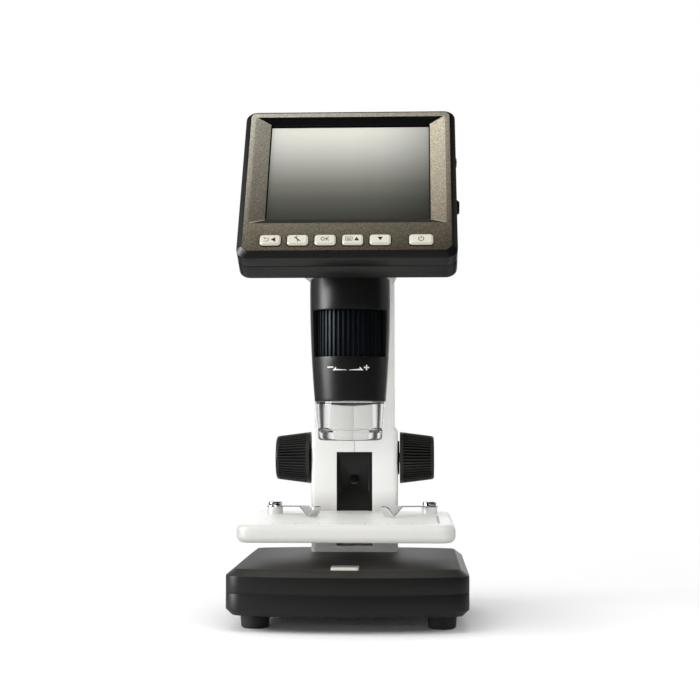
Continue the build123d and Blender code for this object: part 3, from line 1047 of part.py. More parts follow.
    main_top = frame_back - MAIN_BOARD_GAP
    main_low = main_top - MAIN_BOARD_THICKNESS
    main_v = FACE_HEIGHT - MAIN_BOARD_TOP_GAP - MAIN_BOARD_HEIGHT / 2
    mother = head_slab(MAIN_BOARD_WIDTH, MAIN_BOARD_HEIGHT, 1.0, main_low, main_top, main_v, MAIN_BOARD_U)
    mother += block(CHIP_U - CHIP_SIZE / 2, CHIP_U + CHIP_SIZE / 2, CHIP_V - CHIP_SIZE / 2,
                    CHIP_V + CHIP_SIZE / 2, main_low - CHIP_HEIGHT, main_low)
    mother += block(PLUG_U - PLUG_WIDTH / 2, PLUG_U + PLUG_WIDTH / 2, PLUG_V - PLUG_DEPTH / 2,
                    PLUG_V + PLUG_DEPTH / 2, main_low - PLUG_HEIGHT, main_low)
    for u, v in BOARD_POSTS:
        rear += disc(BOARD_POST_RADIUS, rear_inner_w, main_low, u, v)
    cell_v = FACE_HEIGHT - CELL_TOP_GAP - CELL_HEIGHT / 2
    cell = head_slab(CELL_WIDTH, CELL_HEIGHT, 2.0, rear_inner_w, rear_inner_w + CELL_THICKNESS, cell_v)

    sockets = []
    half_u = HEAD_OUTER_WIDTH / 2
    for v, length, height in PORTS:
        rear -= block(-half_u - 1, -half_u + HEAD_WALL + 1, v - length / 2, v + length / 2,
                      PORT_W - height / 2, PORT_W + height / 2)
        long_half = length / 2 + PORT_LONG_WALL
        short_half = height / 2 + PORT_SHORT_WALL
        socket = block(-half_u + HEAD_WALL, PORT_INNER_U, v - long_half, v + long_half,
                       PORT_W - short_half, PORT_W + short_half)
        socket -= block(-half_u + HEAD_WALL, PORT_INNER_U - PORT_SOCKET_FLOOR, v - length / 2,
                        v + length / 2, PORT_W - height / 2, PORT_W + height / 2)
        sockets.append(HEAD.location * socket)

    wheel = extrude(ribbed_outline(DIMMER_RADIUS, DIMMER_RIBS, DIMMER_RIB_DEPTH), DIMMER_WIDTH)
    wheel -= disc(DIMMER_AXLE_RADIUS + RUNNING_CLEARANCE, 0, DIMMER_WIDTH)
    axle = disc(DIMMER_AXLE_RADIUS, wheel_low - BODY_GAP, wheel_low + DIMMER_WIDTH, dimmer_u, DIMMER_V)
    axle += disc(DIMMER_AXLE_RADIUS + DIMMER_AXLE_FOOT, rear_inner_w, wheel_low - BODY_GAP, dimmer_u, DIMMER_V)

    button_low = half_u - HEAD_WALL - SIDE_BUTTON_INSIDE
    button_collar = half_u + SIDE_BUTTON_COLLAR
    button = button_axis * Pos(0, 0, button_low) * Cylinder(
        SIDE_BUTTON_RADIUS, button_collar - button_low, align=CENTRED)
    button += button_axis * Pos(0, 0, button_collar) * Cone(
        SIDE_BUTTON_RADIUS, SIDE_BUTTON_TIP_RADIUS, SIDE_BUTTON_PROUD - SIDE_BUTTON_COLLAR, align=CENTRED)
    switch_u = button_low - SIDE_BUTTON_TRAVEL - BODY_GAP
    switch = block(switch_u - SIDE_SWITCH_DEPTH, switch_u, SIDE_BUTTON_V - SIDE_SWITCH_HALF,
                   SIDE_BUTTON_V + SIDE_SWITCH_HALF, SIDE_BUTTON_W - SIDE_SWITCH_LOW,
                   SIDE_BUTTON_W + SIDE_SWITCH_HIGH)

    PARTS["head_front_shell"] = HEAD.location * front
    PARTS["head_rear_shell"] = HEAD.location * rear
    PARTS["head_bezel"] = HEAD.location * bezel
    PARTS["lcd_panel"] = HEAD.location * lcd
    PARTS["lcd_frame"] = HEAD.location * tray
    PARTS["button_board"] = HEAD.location * keyboard
    PARTS["main_board"] = HEAD.location * mother
    PARTS["battery"] = HEAD.location * cell
    PARTS["port_sockets"] = sockets
    PARTS["head_screws"] = screws
    PARTS["dimmer_wheel"] = HEAD.location * Pos(dimmer_u, DIMMER_V, wheel_low) * wheel
    PARTS["dimmer_axle"] = HEAD.location * axle
    PARTS["side_button"] = HEAD.location * button
    PARTS["side_switch"] = HEAD.location * switch
    for name, key in keys.items():
        PARTS[name] = HEAD.location * key


def export_parts():
    """Write one STEP per part, with the origin at the bottom centre of the whole object's box."""
    back = BASE_END_BACK_Y + BASE_BULGE
    shift = Pos(0, -(STAGE_FRONT_Y + back) / 2, 0)
    os.makedirs("parts", exist_ok=True)
    for name, shape in PARTS.items():
        pieces = shape if isinstance(shape, list) else [shape]
        solids = [solid for piece in pieces for solid in (shift * piece).solids()]
        whole = solids[0] if len(solids) == 1 else Compound(children=solids)
        whole.label = name
        export_step(whole, f"parts/{name}.step")


make_base()
make_column()
make_drive()
make_carriage()
make_stage()
make_clips()
make_tube()
make_cap()
make_head()
export_parts()
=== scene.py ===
import json
import math

import bmesh
import bpy
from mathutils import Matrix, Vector
from mathutils.bvhtree import BVHTree

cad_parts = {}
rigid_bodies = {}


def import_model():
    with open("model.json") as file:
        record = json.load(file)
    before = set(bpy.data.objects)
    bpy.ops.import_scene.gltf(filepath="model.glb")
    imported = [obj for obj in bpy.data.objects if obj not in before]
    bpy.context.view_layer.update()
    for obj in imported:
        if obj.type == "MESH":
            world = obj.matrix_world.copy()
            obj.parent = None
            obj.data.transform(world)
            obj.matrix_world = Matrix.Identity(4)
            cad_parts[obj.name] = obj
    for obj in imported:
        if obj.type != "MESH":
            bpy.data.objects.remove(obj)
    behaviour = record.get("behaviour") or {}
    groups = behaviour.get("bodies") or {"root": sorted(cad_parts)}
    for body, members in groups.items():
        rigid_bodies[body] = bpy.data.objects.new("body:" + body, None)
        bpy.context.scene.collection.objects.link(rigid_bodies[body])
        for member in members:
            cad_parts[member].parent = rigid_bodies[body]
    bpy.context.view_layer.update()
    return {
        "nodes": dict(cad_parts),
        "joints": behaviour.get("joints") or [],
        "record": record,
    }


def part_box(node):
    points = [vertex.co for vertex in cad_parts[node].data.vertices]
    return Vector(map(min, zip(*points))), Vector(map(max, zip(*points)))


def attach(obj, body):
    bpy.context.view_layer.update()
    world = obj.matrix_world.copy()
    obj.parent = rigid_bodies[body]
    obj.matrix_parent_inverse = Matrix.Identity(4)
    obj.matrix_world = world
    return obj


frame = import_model()
NODES = frame["nodes"]

MM = 0.001

# --- Camera: the lens's focal length is in pixels of the square picture ---
PICTURE_PIXELS = 700
FOCAL_PIXELS = 1440.0
SENSOR_MM = 36.0
CAMERA_PLACE_MM = (28.4, -682.0, 93.1)
CAMERA_YAW = 2.445
CAMERA_PITCH = 2.74
CAMERA_NEAR_M = 0.01

# --- Print on the parts: its height above them, its longest edge, and where its rays start ---
PRINT_LIFT_MM = 0.03
PRINT_STEP_MM = 0.6
PRINT_PASSES = 6
PRINT_START_M = 0.05

# --- Edges: angles in degrees above which they stay sharp and are rounded ---
SMOOTH_ANGLE = 32.0
ROUND_ANGLE = 28
ROUND_SEGMENTS = 3
WELD_M = 1e-6


# ---------------------------------------------------------------- frame helpers
def spread(node, direction):
    """Least and greatest reach of a CAD node along a direction, in metres."""
    reach = [vertex.co.dot(direction) for vertex in NODES[node].data.vertices]
    return min(reach), max(reach)


def joint(name):
    return next(entry for entry in frame["joints"] if entry["name"] == name)


FACE_OUT = -Vector(joint("back_key_press")["axis"]).normalized()
FACE_UP = Vector((0, FACE_OUT.z, -FACE_OUT.y))
FACE_RIGHT = Vector((1, 0, 0))
UP = Vector((0, 0, 1))
BACK = Vector((0, 1, 0))
TUBE_AXIS = Vector(joint("focus_ring_turn")["pos_m"])


def face_point(u, v, w):
    """A point from its places along the display's right, up and outward directions."""
    return FACE_RIGHT * u + FACE_UP * v + FACE_OUT * w


# ---------------------------------------------------------------- materials
# Some finishes paint shade by place on the part, matched to the photograph's light: the screen's
# reflection, the bezel's fall and slopes, the base's top, the column's foot, the ribs of the
# knobs, the keys' feet and the cap's line. Under other light these shades stay as they are

# Between these two levels a noise goes from its low to its high value
NOISE_LOW, NOISE_HIGH = 0.3, 0.7
# How far a face has to look up, as the cosine of its slope, to count as lying flat
FLAT = (0.8, 0.98)


class Finish:
    """A procedural material in the making. Its texture coordinates are the object's, in metres."""

    def __init__(self, name, color, roughness, metallic=0.0, **sockets):
        self.material = bpy.data.materials.new(name)
        self.material.use_nodes = True
        self.tree = self.material.node_tree
        self.shader = self.tree.nodes["Principled BSDF"]
        self.place = self.add("ShaderNodeTexCoord").outputs["Object"]
        self.set("Base Color", (*color, 1.0))
        self.set("Roughness", roughness)
        self.set("Metallic", metallic)
        for socket, value in sockets.items():
            self.set(socket.replace("_", " "), value)
        self.color = color
        self.roughness = roughness

    def add(self, kind, **settings):
        node = self.tree.nodes.new(kind)
        for key, value in settings.items():
            setattr(node, key, value)
        return node

    def link(self, source, target):
        self.tree.links.new(source, target)

    def set(self, socket, value):
        self.shader.inputs[socket].default_value = value

    def noise(self, size_mm, detail=2.0, stretch=(1, 1, 1)):
        """Noise whose features are about size_mm across."""
        place = self.add("ShaderNodeMapping")
        place.inputs["Scale"].default_value = [part / (size_mm * MM) for part in stretch]
        self.link(self.place, place.inputs["Vector"])
        noise = self.add("ShaderNodeTexNoise")
        noise.inputs["Scale"].default_value = 1.0
        noise.inputs["Detail"].default_value = detail
        self.link(place.outputs["Vector"], noise.inputs["Vector"])
        return noise.outputs["Fac"]

    def ramp(self, factor, stops):
        """A colour ramp from (position, colour or grey) stops."""
        ramp = self.add("ShaderNodeValToRGB")
        elements = ramp.color_ramp.elements
        while len(elements) < len(stops):
            elements.new(0.5)
        for element, (position, color) in zip(elements, stops):
            element.position = position
            element.color = (*(color if isinstance(color, tuple) else (color,) * 3), 1.0)
        self.link(factor, ramp.inputs["Fac"])
        return ramp.outputs["Color"]

    def patches(self, factor, low, high):
        """From the low to the high value over a noise's middle levels."""
        return self.ramp(factor, [(NOISE_LOW, low), (NOISE_HIGH, high)])

    def spread_color(self, factor, amount):
        """Vary the base colour by a share of itself."""
        low = tuple(part * (1 - amount) for part in self.color)
        high = tuple(min(part * (1 + amount), 1.0) for part in self.color)
        self.link(self.patches(factor, low, high), self.shader.inputs["Base Color"])

    def spread_roughness(self, factor, amount):
        """Vary the roughness up and down by an amount."""
        low = max(self.roughness - amount, 0.02)
        self.link(self.patches(factor, low, self.roughness + amount), self.shader.inputs["Roughness"])

    def shaded(self, color, factor, low):
        """Take a colour as the base colour, and darken it in patches to a share of itself."""
        shade = self.patches(factor, low, 1.0)
        self.link(self.mix(1.0, color, shade, "MULTIPLY"), self.shader.inputs["Base Color"])

    def bump(self, height, strength, depth_mm):
        bump = self.add("ShaderNodeBump")
        bump.inputs["Strength"].default_value = strength
        bump.inputs["Distance"].default_value = depth_mm * MM
        self.link(height, bump.inputs["Height"])
        self.link(bump.outputs["Normal"], self.shader.inputs["Normal"])

    def mix(self, factor, first, second, blend="MIX"):
        """From the first colour to the second, or to their blend, as the factor goes from 0 to 1."""
        mix = self.add("ShaderNodeMix", data_type="RGBA", blend_type=blend)
        if isinstance(factor, float):
            mix.inputs[0].default_value = factor
        else:
            self.link(factor, mix.inputs[0])
        for source, socket in ((first, mix.inputs[6]), (second, mix.inputs[7])):
            if isinstance(source, tuple):
                socket.default_value = (*source, 1.0)
            else:
                self.link(source, socket)
        return mix.outputs[2]

    def rescale(self, value, low, high):
        """0 to 1 as a value goes from low to high."""
        scale = self.add("ShaderNodeMapRange")
        scale.inputs["From Min"].default_value = low
        scale.inputs["From Max"].default_value = high
        self.link(value, scale.inputs["Value"])
        return scale.outputs["Result"]

    def dot(self, vector, direction):
        product = self.add("ShaderNodeVectorMath", operation="DOT_PRODUCT")
        self.link(vector, product.inputs[0])
        product.inputs[1].default_value = direction
        return product.outputs["Value"]

    def facing(self, direction, low, high):
        """0 to 1 as a surface turns to face a direction of the part."""
        normal = self.add("ShaderNodeNewGeometry").outputs["True Normal"]
        return self.rescale(self.dot(normal, direction), low, high)

    def along(self, direction, low, high):
        """0 to 1 as a place goes from low to high along a direction, in metres."""
        return self.rescale(self.dot(self.place, direction), low, high)

    def above(self, heights_mm):
        """0 to 1 as a place rises from the first to the second height."""
        return self.along(UP, *(height * MM for height in heights_mm))


# Heights between which the white turns from the stage's to the column's. As painted light and shade, the
# stage's top is painted paler than its sides, and the column paler still to make up for the head's shade
WHITE_HEIGHTS_MM = (49, 58)
STAGE_SIDE_WHITE_PAINTED_SHADE = (0.70, 0.695, 0.668)
STAGE_TOP_WHITE_PAINTED_LIGHT = (0.90, 0.895, 0.865)
COLUMN_WHITE_PAINTED_LIGHT = (0.93, 0.925, 0.90)
# The column's foot, painted paler to make up for the stage's shade
FOOT_WHITE = (0.97, 0.97, 0.95)
FOOT_HEIGHTS_MM = (35, 38)


def white_plastic():
    """Satin white with painted light and shade: the stage's top paler than its sides, the column paler
    to make up for the head's shade, and the column's foot behind the stage paler to make up for the
    stage's shade.
    """
    finish = Finish("white_plastic", STAGE_SIDE_WHITE_PAINTED_SHADE, 0.36, Coat_Weight=0.12, Coat_Roughness=0.25)
    stage = finish.mix(finish.facing(UP, *FLAT), STAGE_SIDE_WHITE_PAINTED_SHADE, STAGE_TOP_WHITE_PAINTED_LIGHT)
    stage = finish.mix(finish.above(FOOT_HEIGHTS_MM), FOOT_WHITE, stage)
    white = finish.mix(finish.above(WHITE_HEIGHTS_MM), stage, COLUMN_WHITE_PAINTED_LIGHT)
    finish.shaded(white, finish.noise(30.0, 3.0), 0.975)
    finish.spread_roughness(finish.noise(9.0, 4.0), 0.05)
    finish.bump(finish.noise(0.35, 2.0), 0.10, 0.05)
    return finish.material


BLACK = (0.0045, 0.0044, 0.0042)
# Flat faces above the base are painted paler than the black, as painted sheen
BLACK_FLAT_PAINTED_SHEEN = (0.030, 0.029, 0.028)
# Roughness of the faces that lie flat, and of the base's other faces
FLAT_MATT = (0.56, 0.56, 0.56)
BASE_MATT = (0.42, 0.42, 0.42)
# The base ends between these heights. Its bevel is painted paler as a painted reflection, the sides of
# its top are painted paler as painted sheen, and its top is painted paler still between the second
# number of the left pair and the first of the right, to make up for the stage's shade
BASE_HEIGHTS_MM = (34, 38)
BASE_LEFT_MM = (-45, -5)
BASE_RIGHT_MM = (15, 45)
BEVEL_SLOPE = (0.3, 0.5)
BASE_BEVEL_PAINTED_REFLECTION = (0.045, 0.042, 0.036)
BASE_TOP_SIDES_PAINTED_SHEEN = (0.016, 0.015, 0.014)
BASE_MIDDLE = (0.14, 0.131, 0.121)


def black_plastic():
    """Fine-grained black, duller on the faces that lie flat and painted paler on them as painted sheen,
    with a painted reflection on the base's bevel and painted light on its top's middle against the
    stage's shade.
    """
    finish = Finish("black_plastic", BLACK, 0.35)
    flat = finish.facing(UP, *FLAT)
    above_base = finish.above(BASE_HEIGHTS_MM)
    left, right = ([end * MM for end in ends] for ends in (BASE_LEFT_MM, BASE_RIGHT_MM))
    top = finish.mix(finish.along(FACE_RIGHT, *left), BASE_TOP_SIDES_PAINTED_SHEEN, BASE_MIDDLE)
    top = finish.mix(finish.along(FACE_RIGHT, *right), top, BASE_TOP_SIDES_PAINTED_SHEEN)
    bevel = finish.mix(finish.facing(UP, *BEVEL_SLOPE), BLACK, BASE_BEVEL_PAINTED_REFLECTION)
    base = finish.mix(flat, bevel, top)
    black = finish.mix(above_base, base, finish.mix(flat, BLACK, BLACK_FLAT_PAINTED_SHEEN))
    finish.shaded(black, finish.noise(14.0, 4.0), 0.88)
    matt = finish.mix(above_base, BASE_MATT, finish.patches(finish.noise(5.0, 4.0), 0.335, 0.375))
    finish.link(finish.mix(flat, matt, FLAT_MATT), finish.shader.inputs["Roughness"])
    finish.bump(finish.noise(0.28, 2.0), 0.10, 0.04)
    return finish.material


# The knobs end below these heights. The ring and the small controls are above them
GRIP_HEIGHTS_MM = (105, 115)
# The radius of the knobs' rib tops at the shaft's middle, its fall along the shaft, and the
# ribs' depth. The shares of that depth are where the grooves' and the tops' colours begin
KNOB_RIBS_MM = (15.845, 0.1287, 0.45)
KNOB_RIB_SHARES = (0.85, 0.15)
GRIP_BLACK = (0.016, 0.016, 0.0155)
# Painted shade in the knobs' grooves, against the colour of their rib tops
KNOB_GROOVE_PAINTED_SHADE = (0.0012, 0.0012, 0.0012)
KNOB_TOP = (0.034, 0.031, 0.026)
# The ring, and with it the small controls above the knobs, painted darker: painted shade for the ring
# inside the tube's window
RING_BLACK_PAINTED_SHADE = (0.0022, 0.003, 0.0042)
GRIP_TINT = (0.72, 0.87, 1.0, 1.0)


def knob_ribs(finish):
    """0 in the grooves of the knobs and 1 on the rib tops, to paint shade into the grooves."""
    radius, slope, depth = KNOB_RIBS_MM
    offset = finish.add("ShaderNodeVectorMath", operation="SUBTRACT")
    finish.link(finish.place, offset.inputs[0])
    offset.inputs[1].default_value = joint("knob_turn")["pos_m"]
    across = finish.add("ShaderNodeVectorMath", operation="MULTIPLY")
    finish.link(offset.outputs["Vector"], across.inputs[0])
    across.inputs[1].default_value = (0, 1, 1)
    length = finish.add("ShaderNodeVectorMath", operation="LENGTH")
    finish.link(across.outputs["Vector"], length.inputs[0])
    along = finish.add("ShaderNodeSeparateXYZ")
    finish.link(finish.place, along.inputs[0])
    side = finish.add("ShaderNodeMath", operation="ABSOLUTE")
    finish.link(along.outputs["X"], side.inputs[0])
    reach = finish.add("ShaderNodeMath", operation="MULTIPLY_ADD")
    finish.link(side.outputs["Value"], reach.inputs[0])
    reach.inputs[1].default_value = slope
    finish.link(length.outputs["Value"], reach.inputs[2])
    groove, top = ((radius - share * depth) * MM for share in KNOB_RIB_SHARES)
    return finish.rescale(reach.outputs["Value"], groove, top)


def grip_plastic():
    """Black of the ribbed grips: knobs with painted shade in their grooves, and a bluish ring painted
    darker as painted shade inside the tube's window.
    """
    finish = Finish("grip_plastic", GRIP_BLACK, 0.36, Specular_IOR_Level=0.28, Specular_Tint=GRIP_TINT)
    knob = finish.mix(knob_ribs(finish), KNOB_GROOVE_PAINTED_SHADE, KNOB_TOP)
    black = finish.mix(finish.above(GRIP_HEIGHTS_MM), knob, RING_BLACK_PAINTED_SHADE)
    finish.shaded(black, finish.noise(6.0, 4.0), 0.85)
    finish.spread_roughness(finish.noise(3.0, 3.0), 0.04)
    finish.bump(finish.noise(0.3, 2.0), 0.12, 0.04)
    return finish.material


# Metallic paint at the display's foot and head, each from dark to pale flecks. The fall from the dark
# foot to the pale head is a painted reflection
BRONZE_LOW = [(0.35, (0.062, 0.049, 0.032)), (0.5, (0.100, 0.082, 0.056)),
              (0.65, (0.165, 0.141, 0.101))]
BRONZE_HIGH = [(0.35, (0.40, 0.37, 0.285)), (0.5, (0.55, 0.51, 0.41)), (0.65, (0.74, 0.70, 0.57))]
# How far the painted reflection falls off on the right side, and the slopes' painted shade and light, as
# multiples of the paint
BRONZE_RIGHT = (0.62, 0.60, 0.57)
SLOPE_LEFT_PAINTED_SHADE = (0.74, 0.74, 0.74)
SLOPE_RIGHT_PAINTED_LIGHT = (1.85, 1.85, 1.87)
# Painted shade on the recess's head wall, its depth and the faces that turn away from the front, and on
# its foot slope; a painted highlight on the lip
SLOPE_PAINTED_SHADE = (0.003, 0.003, 0.0035)
SLOPE_FOOT_PAINTED_SHADE = (0.045, 0.042, 0.036)
LIP_PAINTED_HIGHLIGHT = (0.42, 0.385, 0.30)
# The lip's painted highlight starts this far above the bezel's lower end, and the recess's painted shade
# this far behind its front
LIP_LOW_MM = 11.0
LIP_FADE_MM = 0.5
RECESS_DEPTH_MM = 2.62
RECESS_FADE_MM = 0.1
# How far a face has to look sideways, up or down, and outwards for each of the colours
SIDE_SLOPE = (0.15, 0.35)
LIP_SLOPE = (0.08, 0.2)
END_SLOPE = (0.42, 0.5)
FRONT_SLOPE = (0.25, 0.45)


def bezel_bronze():
    """Metallic paint with painted light and shade: its fall from pale head to dark foot and to the right
    is a painted reflection, its slopes carry painted shade and light, and its lip a painted highlight.
    """
    low, high = spread("head_bezel", FACE_UP)
    left, right = spread("head_bezel", FACE_RIGHT)
    front = spread("head_bezel", FACE_OUT)[1]
    finish = Finish("bezel_bronze", (0.2, 0.18, 0.14), 0.45, 0.4, Specular_IOR_Level=0.25)
    flecks = finish.noise(0.55, 3.0)
    dark = finish.ramp(flecks, BRONZE_LOW)
    pale = finish.ramp(flecks, BRONZE_HIGH)
    paint = finish.mix(finish.along(FACE_UP, low, high), dark, pale)
    fall = finish.mix(finish.along(FACE_RIGHT, left, right), (1, 1, 1), BRONZE_RIGHT)
    paint = finish.mix(1.0, paint, fall, "MULTIPLY")
    for direction, share in ((FACE_RIGHT, SLOPE_LEFT_PAINTED_SHADE), (-FACE_RIGHT, SLOPE_RIGHT_PAINTED_LIGHT)):
        slope_light_and_shade = finish.mix(finish.facing(direction, *SIDE_SLOPE), (1, 1, 1), share)
        paint = finish.mix(1.0, paint, slope_light_and_shade, "MULTIPLY")
    lip_low = low + LIP_LOW_MM * MM
    lip = finish.mix(finish.along(FACE_UP, lip_low, lip_low + LIP_FADE_MM * MM), paint, LIP_PAINTED_HIGHLIGHT)
    paint = finish.mix(finish.facing(FACE_UP, *LIP_SLOPE), paint, lip)
    for direction, color in ((FACE_UP, SLOPE_FOOT_PAINTED_SHADE), (-FACE_UP, SLOPE_PAINTED_SHADE)):
        paint = finish.mix(finish.facing(direction, *END_SLOPE), paint, color)
    paint = finish.mix(finish.facing(FACE_OUT, *FRONT_SLOPE), SLOPE_PAINTED_SHADE, paint)
    depth = RECESS_DEPTH_MM * MM - front
    paint = finish.mix(finish.along(-FACE_OUT, depth, depth + RECESS_FADE_MM * MM), paint, SLOPE_PAINTED_SHADE)
    finish.link(paint, finish.shader.inputs["Base Color"])
    finish.spread_roughness(finish.noise(0.6, 2.0), 0.08)
    finish.bump(finish.noise(0.4, 2.0), 0.2, 0.05)
    return finish.material


# The painted reflection: its colours from foot to head, and its share of them from left to right
LCD_STEPS = [(0.02, (0.034, 0.034, 0.027)), (0.12, (0.050, 0.050, 0.041)), (0.25, (0.084, 0.084, 0.071)),
             (0.4, (0.16, 0.16, 0.138)), (0.55, (0.29, 0.29, 0.26)), (0.75, (0.50, 0.50, 0.46)),
             (0.95, (0.70, 0.69, 0.62))]
LCD_RIGHT = [(0.0, 0.98), (0.5, 1.0), (0.68, 0.93), (0.82, 0.76), (1.0, 0.50)]
# The screen's black border, in mm in from the bezel's window: at the sides, the foot and the head
LCD_BORDER_MM = (0.55, 0.25, 0.7)
LCD_FADE_MM = 0.1
LCD_WINDOW_MM = (74.4, 56.5)
LCD_BLACK = (0.004, 0.004, 0.006)


def lcd_glass():
    """A screen with its reflection painted in, darker towards foot and right, and a black border."""
    low, high = spread("lcd_panel", FACE_UP)
    left, right = spread("lcd_panel", FACE_RIGHT)
    finish = Finish("lcd_glass", (0.3, 0.3, 0.28), 0.26, Specular_IOR_Level=0.1)
    screen = finish.ramp(finish.along(FACE_UP, low, high), LCD_STEPS)
    fall = finish.ramp(finish.along(FACE_RIGHT, left, right), LCD_RIGHT)
    screen = finish.mix(1.0, screen, fall, "MULTIPLY")
    centre = (low + high) / 2
    half_width, half_height = (size / 2 * MM for size in LCD_WINDOW_MM)
    side, foot, head = (size * MM for size in LCD_BORDER_MM)
    for direction, start in ((FACE_RIGHT, half_width - side), (-FACE_RIGHT, half_width - side),
                             (FACE_UP, centre + half_height - head),
                             (-FACE_UP, half_height - foot - centre)):
        border = finish.along(direction, start, start + LCD_FADE_MM * MM)
        screen = finish.mix(border, screen, LCD_BLACK)
    finish.link(screen, finish.shader.inputs["Base Color"])
    finish.spread_roughness(finish.noise(25.0, 1.0), 0.006)
    return finish.material


# Painted shade on the keys' foot in the bezel's holes
KEY_FOOT_PAINTED_SHADE = (0.02, 0.016, 0.011)
# The keys' painted shade at their foot ends between these heights above the bezel's front
KEY_FOOT_MM = (0.1, 0.45)
# The base's button is below these heights, and the keys are above them. The button is painted paler to
# make up for the stage's shade, as painted light
BUTTON_HEIGHTS_MM = (60, 100)
BUTTON_CREAM_PAINTED_LIGHT = (0.93, 0.93, 0.84)


def key_cream():
    """Cream keys with painted shade at their foot in the bezel's holes, and a button on the base painted
    paler against the stage's shade.
    """
    finish = Finish("key_cream", (0.64, 0.62, 0.515), 0.34, Coat_Weight=0.2, Coat_Roughness=0.2)
    front = spread("head_bezel", FACE_OUT)[1]
    foot = finish.along(FACE_OUT, *(front + height * MM for height in KEY_FOOT_MM))
    cream = finish.mix(foot, KEY_FOOT_PAINTED_SHADE, finish.color)
    cream = finish.mix(finish.above(BUTTON_HEIGHTS_MM), BUTTON_CREAM_PAINTED_LIGHT, cream)
    finish.shaded(cream, finish.noise(4.0, 3.0), 0.97)
    finish.bump(finish.noise(0.3, 2.0), 0.08, 0.03)
    return finish.material


def chrome():
    finish = Finish("chrome", (0.78, 0.78, 0.79), 0.10, 1.0)
    finish.spread_roughness(finish.noise(2.0, 4.0), 0.04)
    finish.bump(finish.noise(1.2, 3.0), 0.05, 0.05)
    return finish.material


def steel():
    finish = Finish("steel", (0.56, 0.56, 0.56), 0.30, 1.0)
    finish.spread_color(finish.noise(1.0, 4.0, (1, 1, 6)), 0.08)
    finish.spread_roughness(finish.noise(0.8, 4.0, (1, 1, 8)), 0.08)
    finish.bump(finish.noise(0.25, 3.0, (1, 1, 8)), 0.1, 0.02)
    return finish.material


def dark_steel():
    finish = Finish("dark_steel", (0.15, 0.15, 0.155), 0.62, 0.8)
    finish.spread_color(finish.noise(3.0, 5.0), 0.2)
    finish.bump(finish.noise(0.8, 4.0), 0.3, 0.1)
    return finish.material


def brass():
    finish = Finish("brass", (0.72, 0.53, 0.25), 0.30, 1.0)
    finish.spread_color(finish.noise(1.5, 4.0), 0.08)
    finish.bump(finish.noise(0.3, 3.0, (8, 1, 1)), 0.1, 0.02)
    return finish.material


def rubber():
    finish = Finish("rubber", (0.018, 0.018, 0.018), 0.72)
    finish.spread_color(finish.noise(4.0, 4.0), 0.2)
    finish.bump(finish.noise(0.4, 3.0), 0.3, 0.08)
    return finish.material


# How far below the tube's rim the painted line of shade ends and starts, and how soft it is; above the
# line, up to the tube, the clear is dimmer
CAP_LINE_MM = (1.12, 0.92, 0.1)
CAP_LINE_PAINTED_SHADE = (0.06, 0.06, 0.07)
CAP_RIM = (0.80, 0.80, 0.81)


def clear_plastic():
    """Clear, with a dark line of painted shade below the tube's rim, where its seat shows through, and
    dimmer above the line.
    """
    finish = Finish("clear_plastic", (0.99, 0.995, 0.992), 0.04, Transmission_Weight=1.0, IOR=1.45)
    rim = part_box("tube_housing")[0].z
    low, high, fade = (size * MM for size in CAP_LINE_MM)
    line = finish.mix(finish.along(UP, rim - low - fade, rim - low), finish.color, CAP_LINE_PAINTED_SHADE)
    line = finish.mix(finish.along(UP, rim - high, rim - high + fade), line, CAP_RIM)
    finish.link(line, finish.shader.inputs["Base Color"])
    finish.spread_roughness(finish.noise(5.0, 3.0), 0.02)
    finish.bump(finish.noise(3.0, 2.0), 0.04, 0.1)
    return finish.material


def lens_glass():
    finish = Finish("lens_glass", (0.92, 0.95, 1.0), 0.02, Transmission_Weight=1.0, IOR=1.5)
    finish.spread_roughness(finish.noise(3.0, 2.0), 0.01)
    return finish.material


def board_green():
    finish = Finish("board_green", (0.02, 0.16, 0.07), 0.35, Coat_Weight=0.4)
    finish.spread_color(finish.noise(1.5, 5.0), 0.35)
    finish.bump(finish.noise(0.5, 3.0), 0.2, 0.05)
    return finish.material


def lamp_white():
    finish = Finish("lamp_white", (0.9, 0.89, 0.82), 0.3)
    finish.spread_color(finish.noise(1.0, 2.0), 0.03)
    return finish.material


def cell_wrap():
    finish = Finish("cell_wrap", (0.09, 0.18, 0.34), 0.4, Coat_Weight=0.3)
    finish.spread_color(finish.noise(6.0, 3.0), 0.1)
    return finish.material


FINISHES = {make.__name__: make for make in (
    white_plastic, black_plastic, grip_plastic, bezel_bronze, lcd_glass, key_cream, chrome, steel,
    dark_steel, brass, rubber, clear_plastic, lens_glass, board_green, lamp_white, cell_wrap)}


# Inks for the marks
INKS = {"key_ink": (0.008, 0.008, 0.009), "white_ink": (0.8, 0.8, 0.78), "grey_ink": (0.22, 0.22, 0.21)}


def print_ink(name, color):
    finish = Finish(name, color, 0.5)
    finish.spread_color(finish.noise(0.5, 3.0), 0.08)
    return finish.material


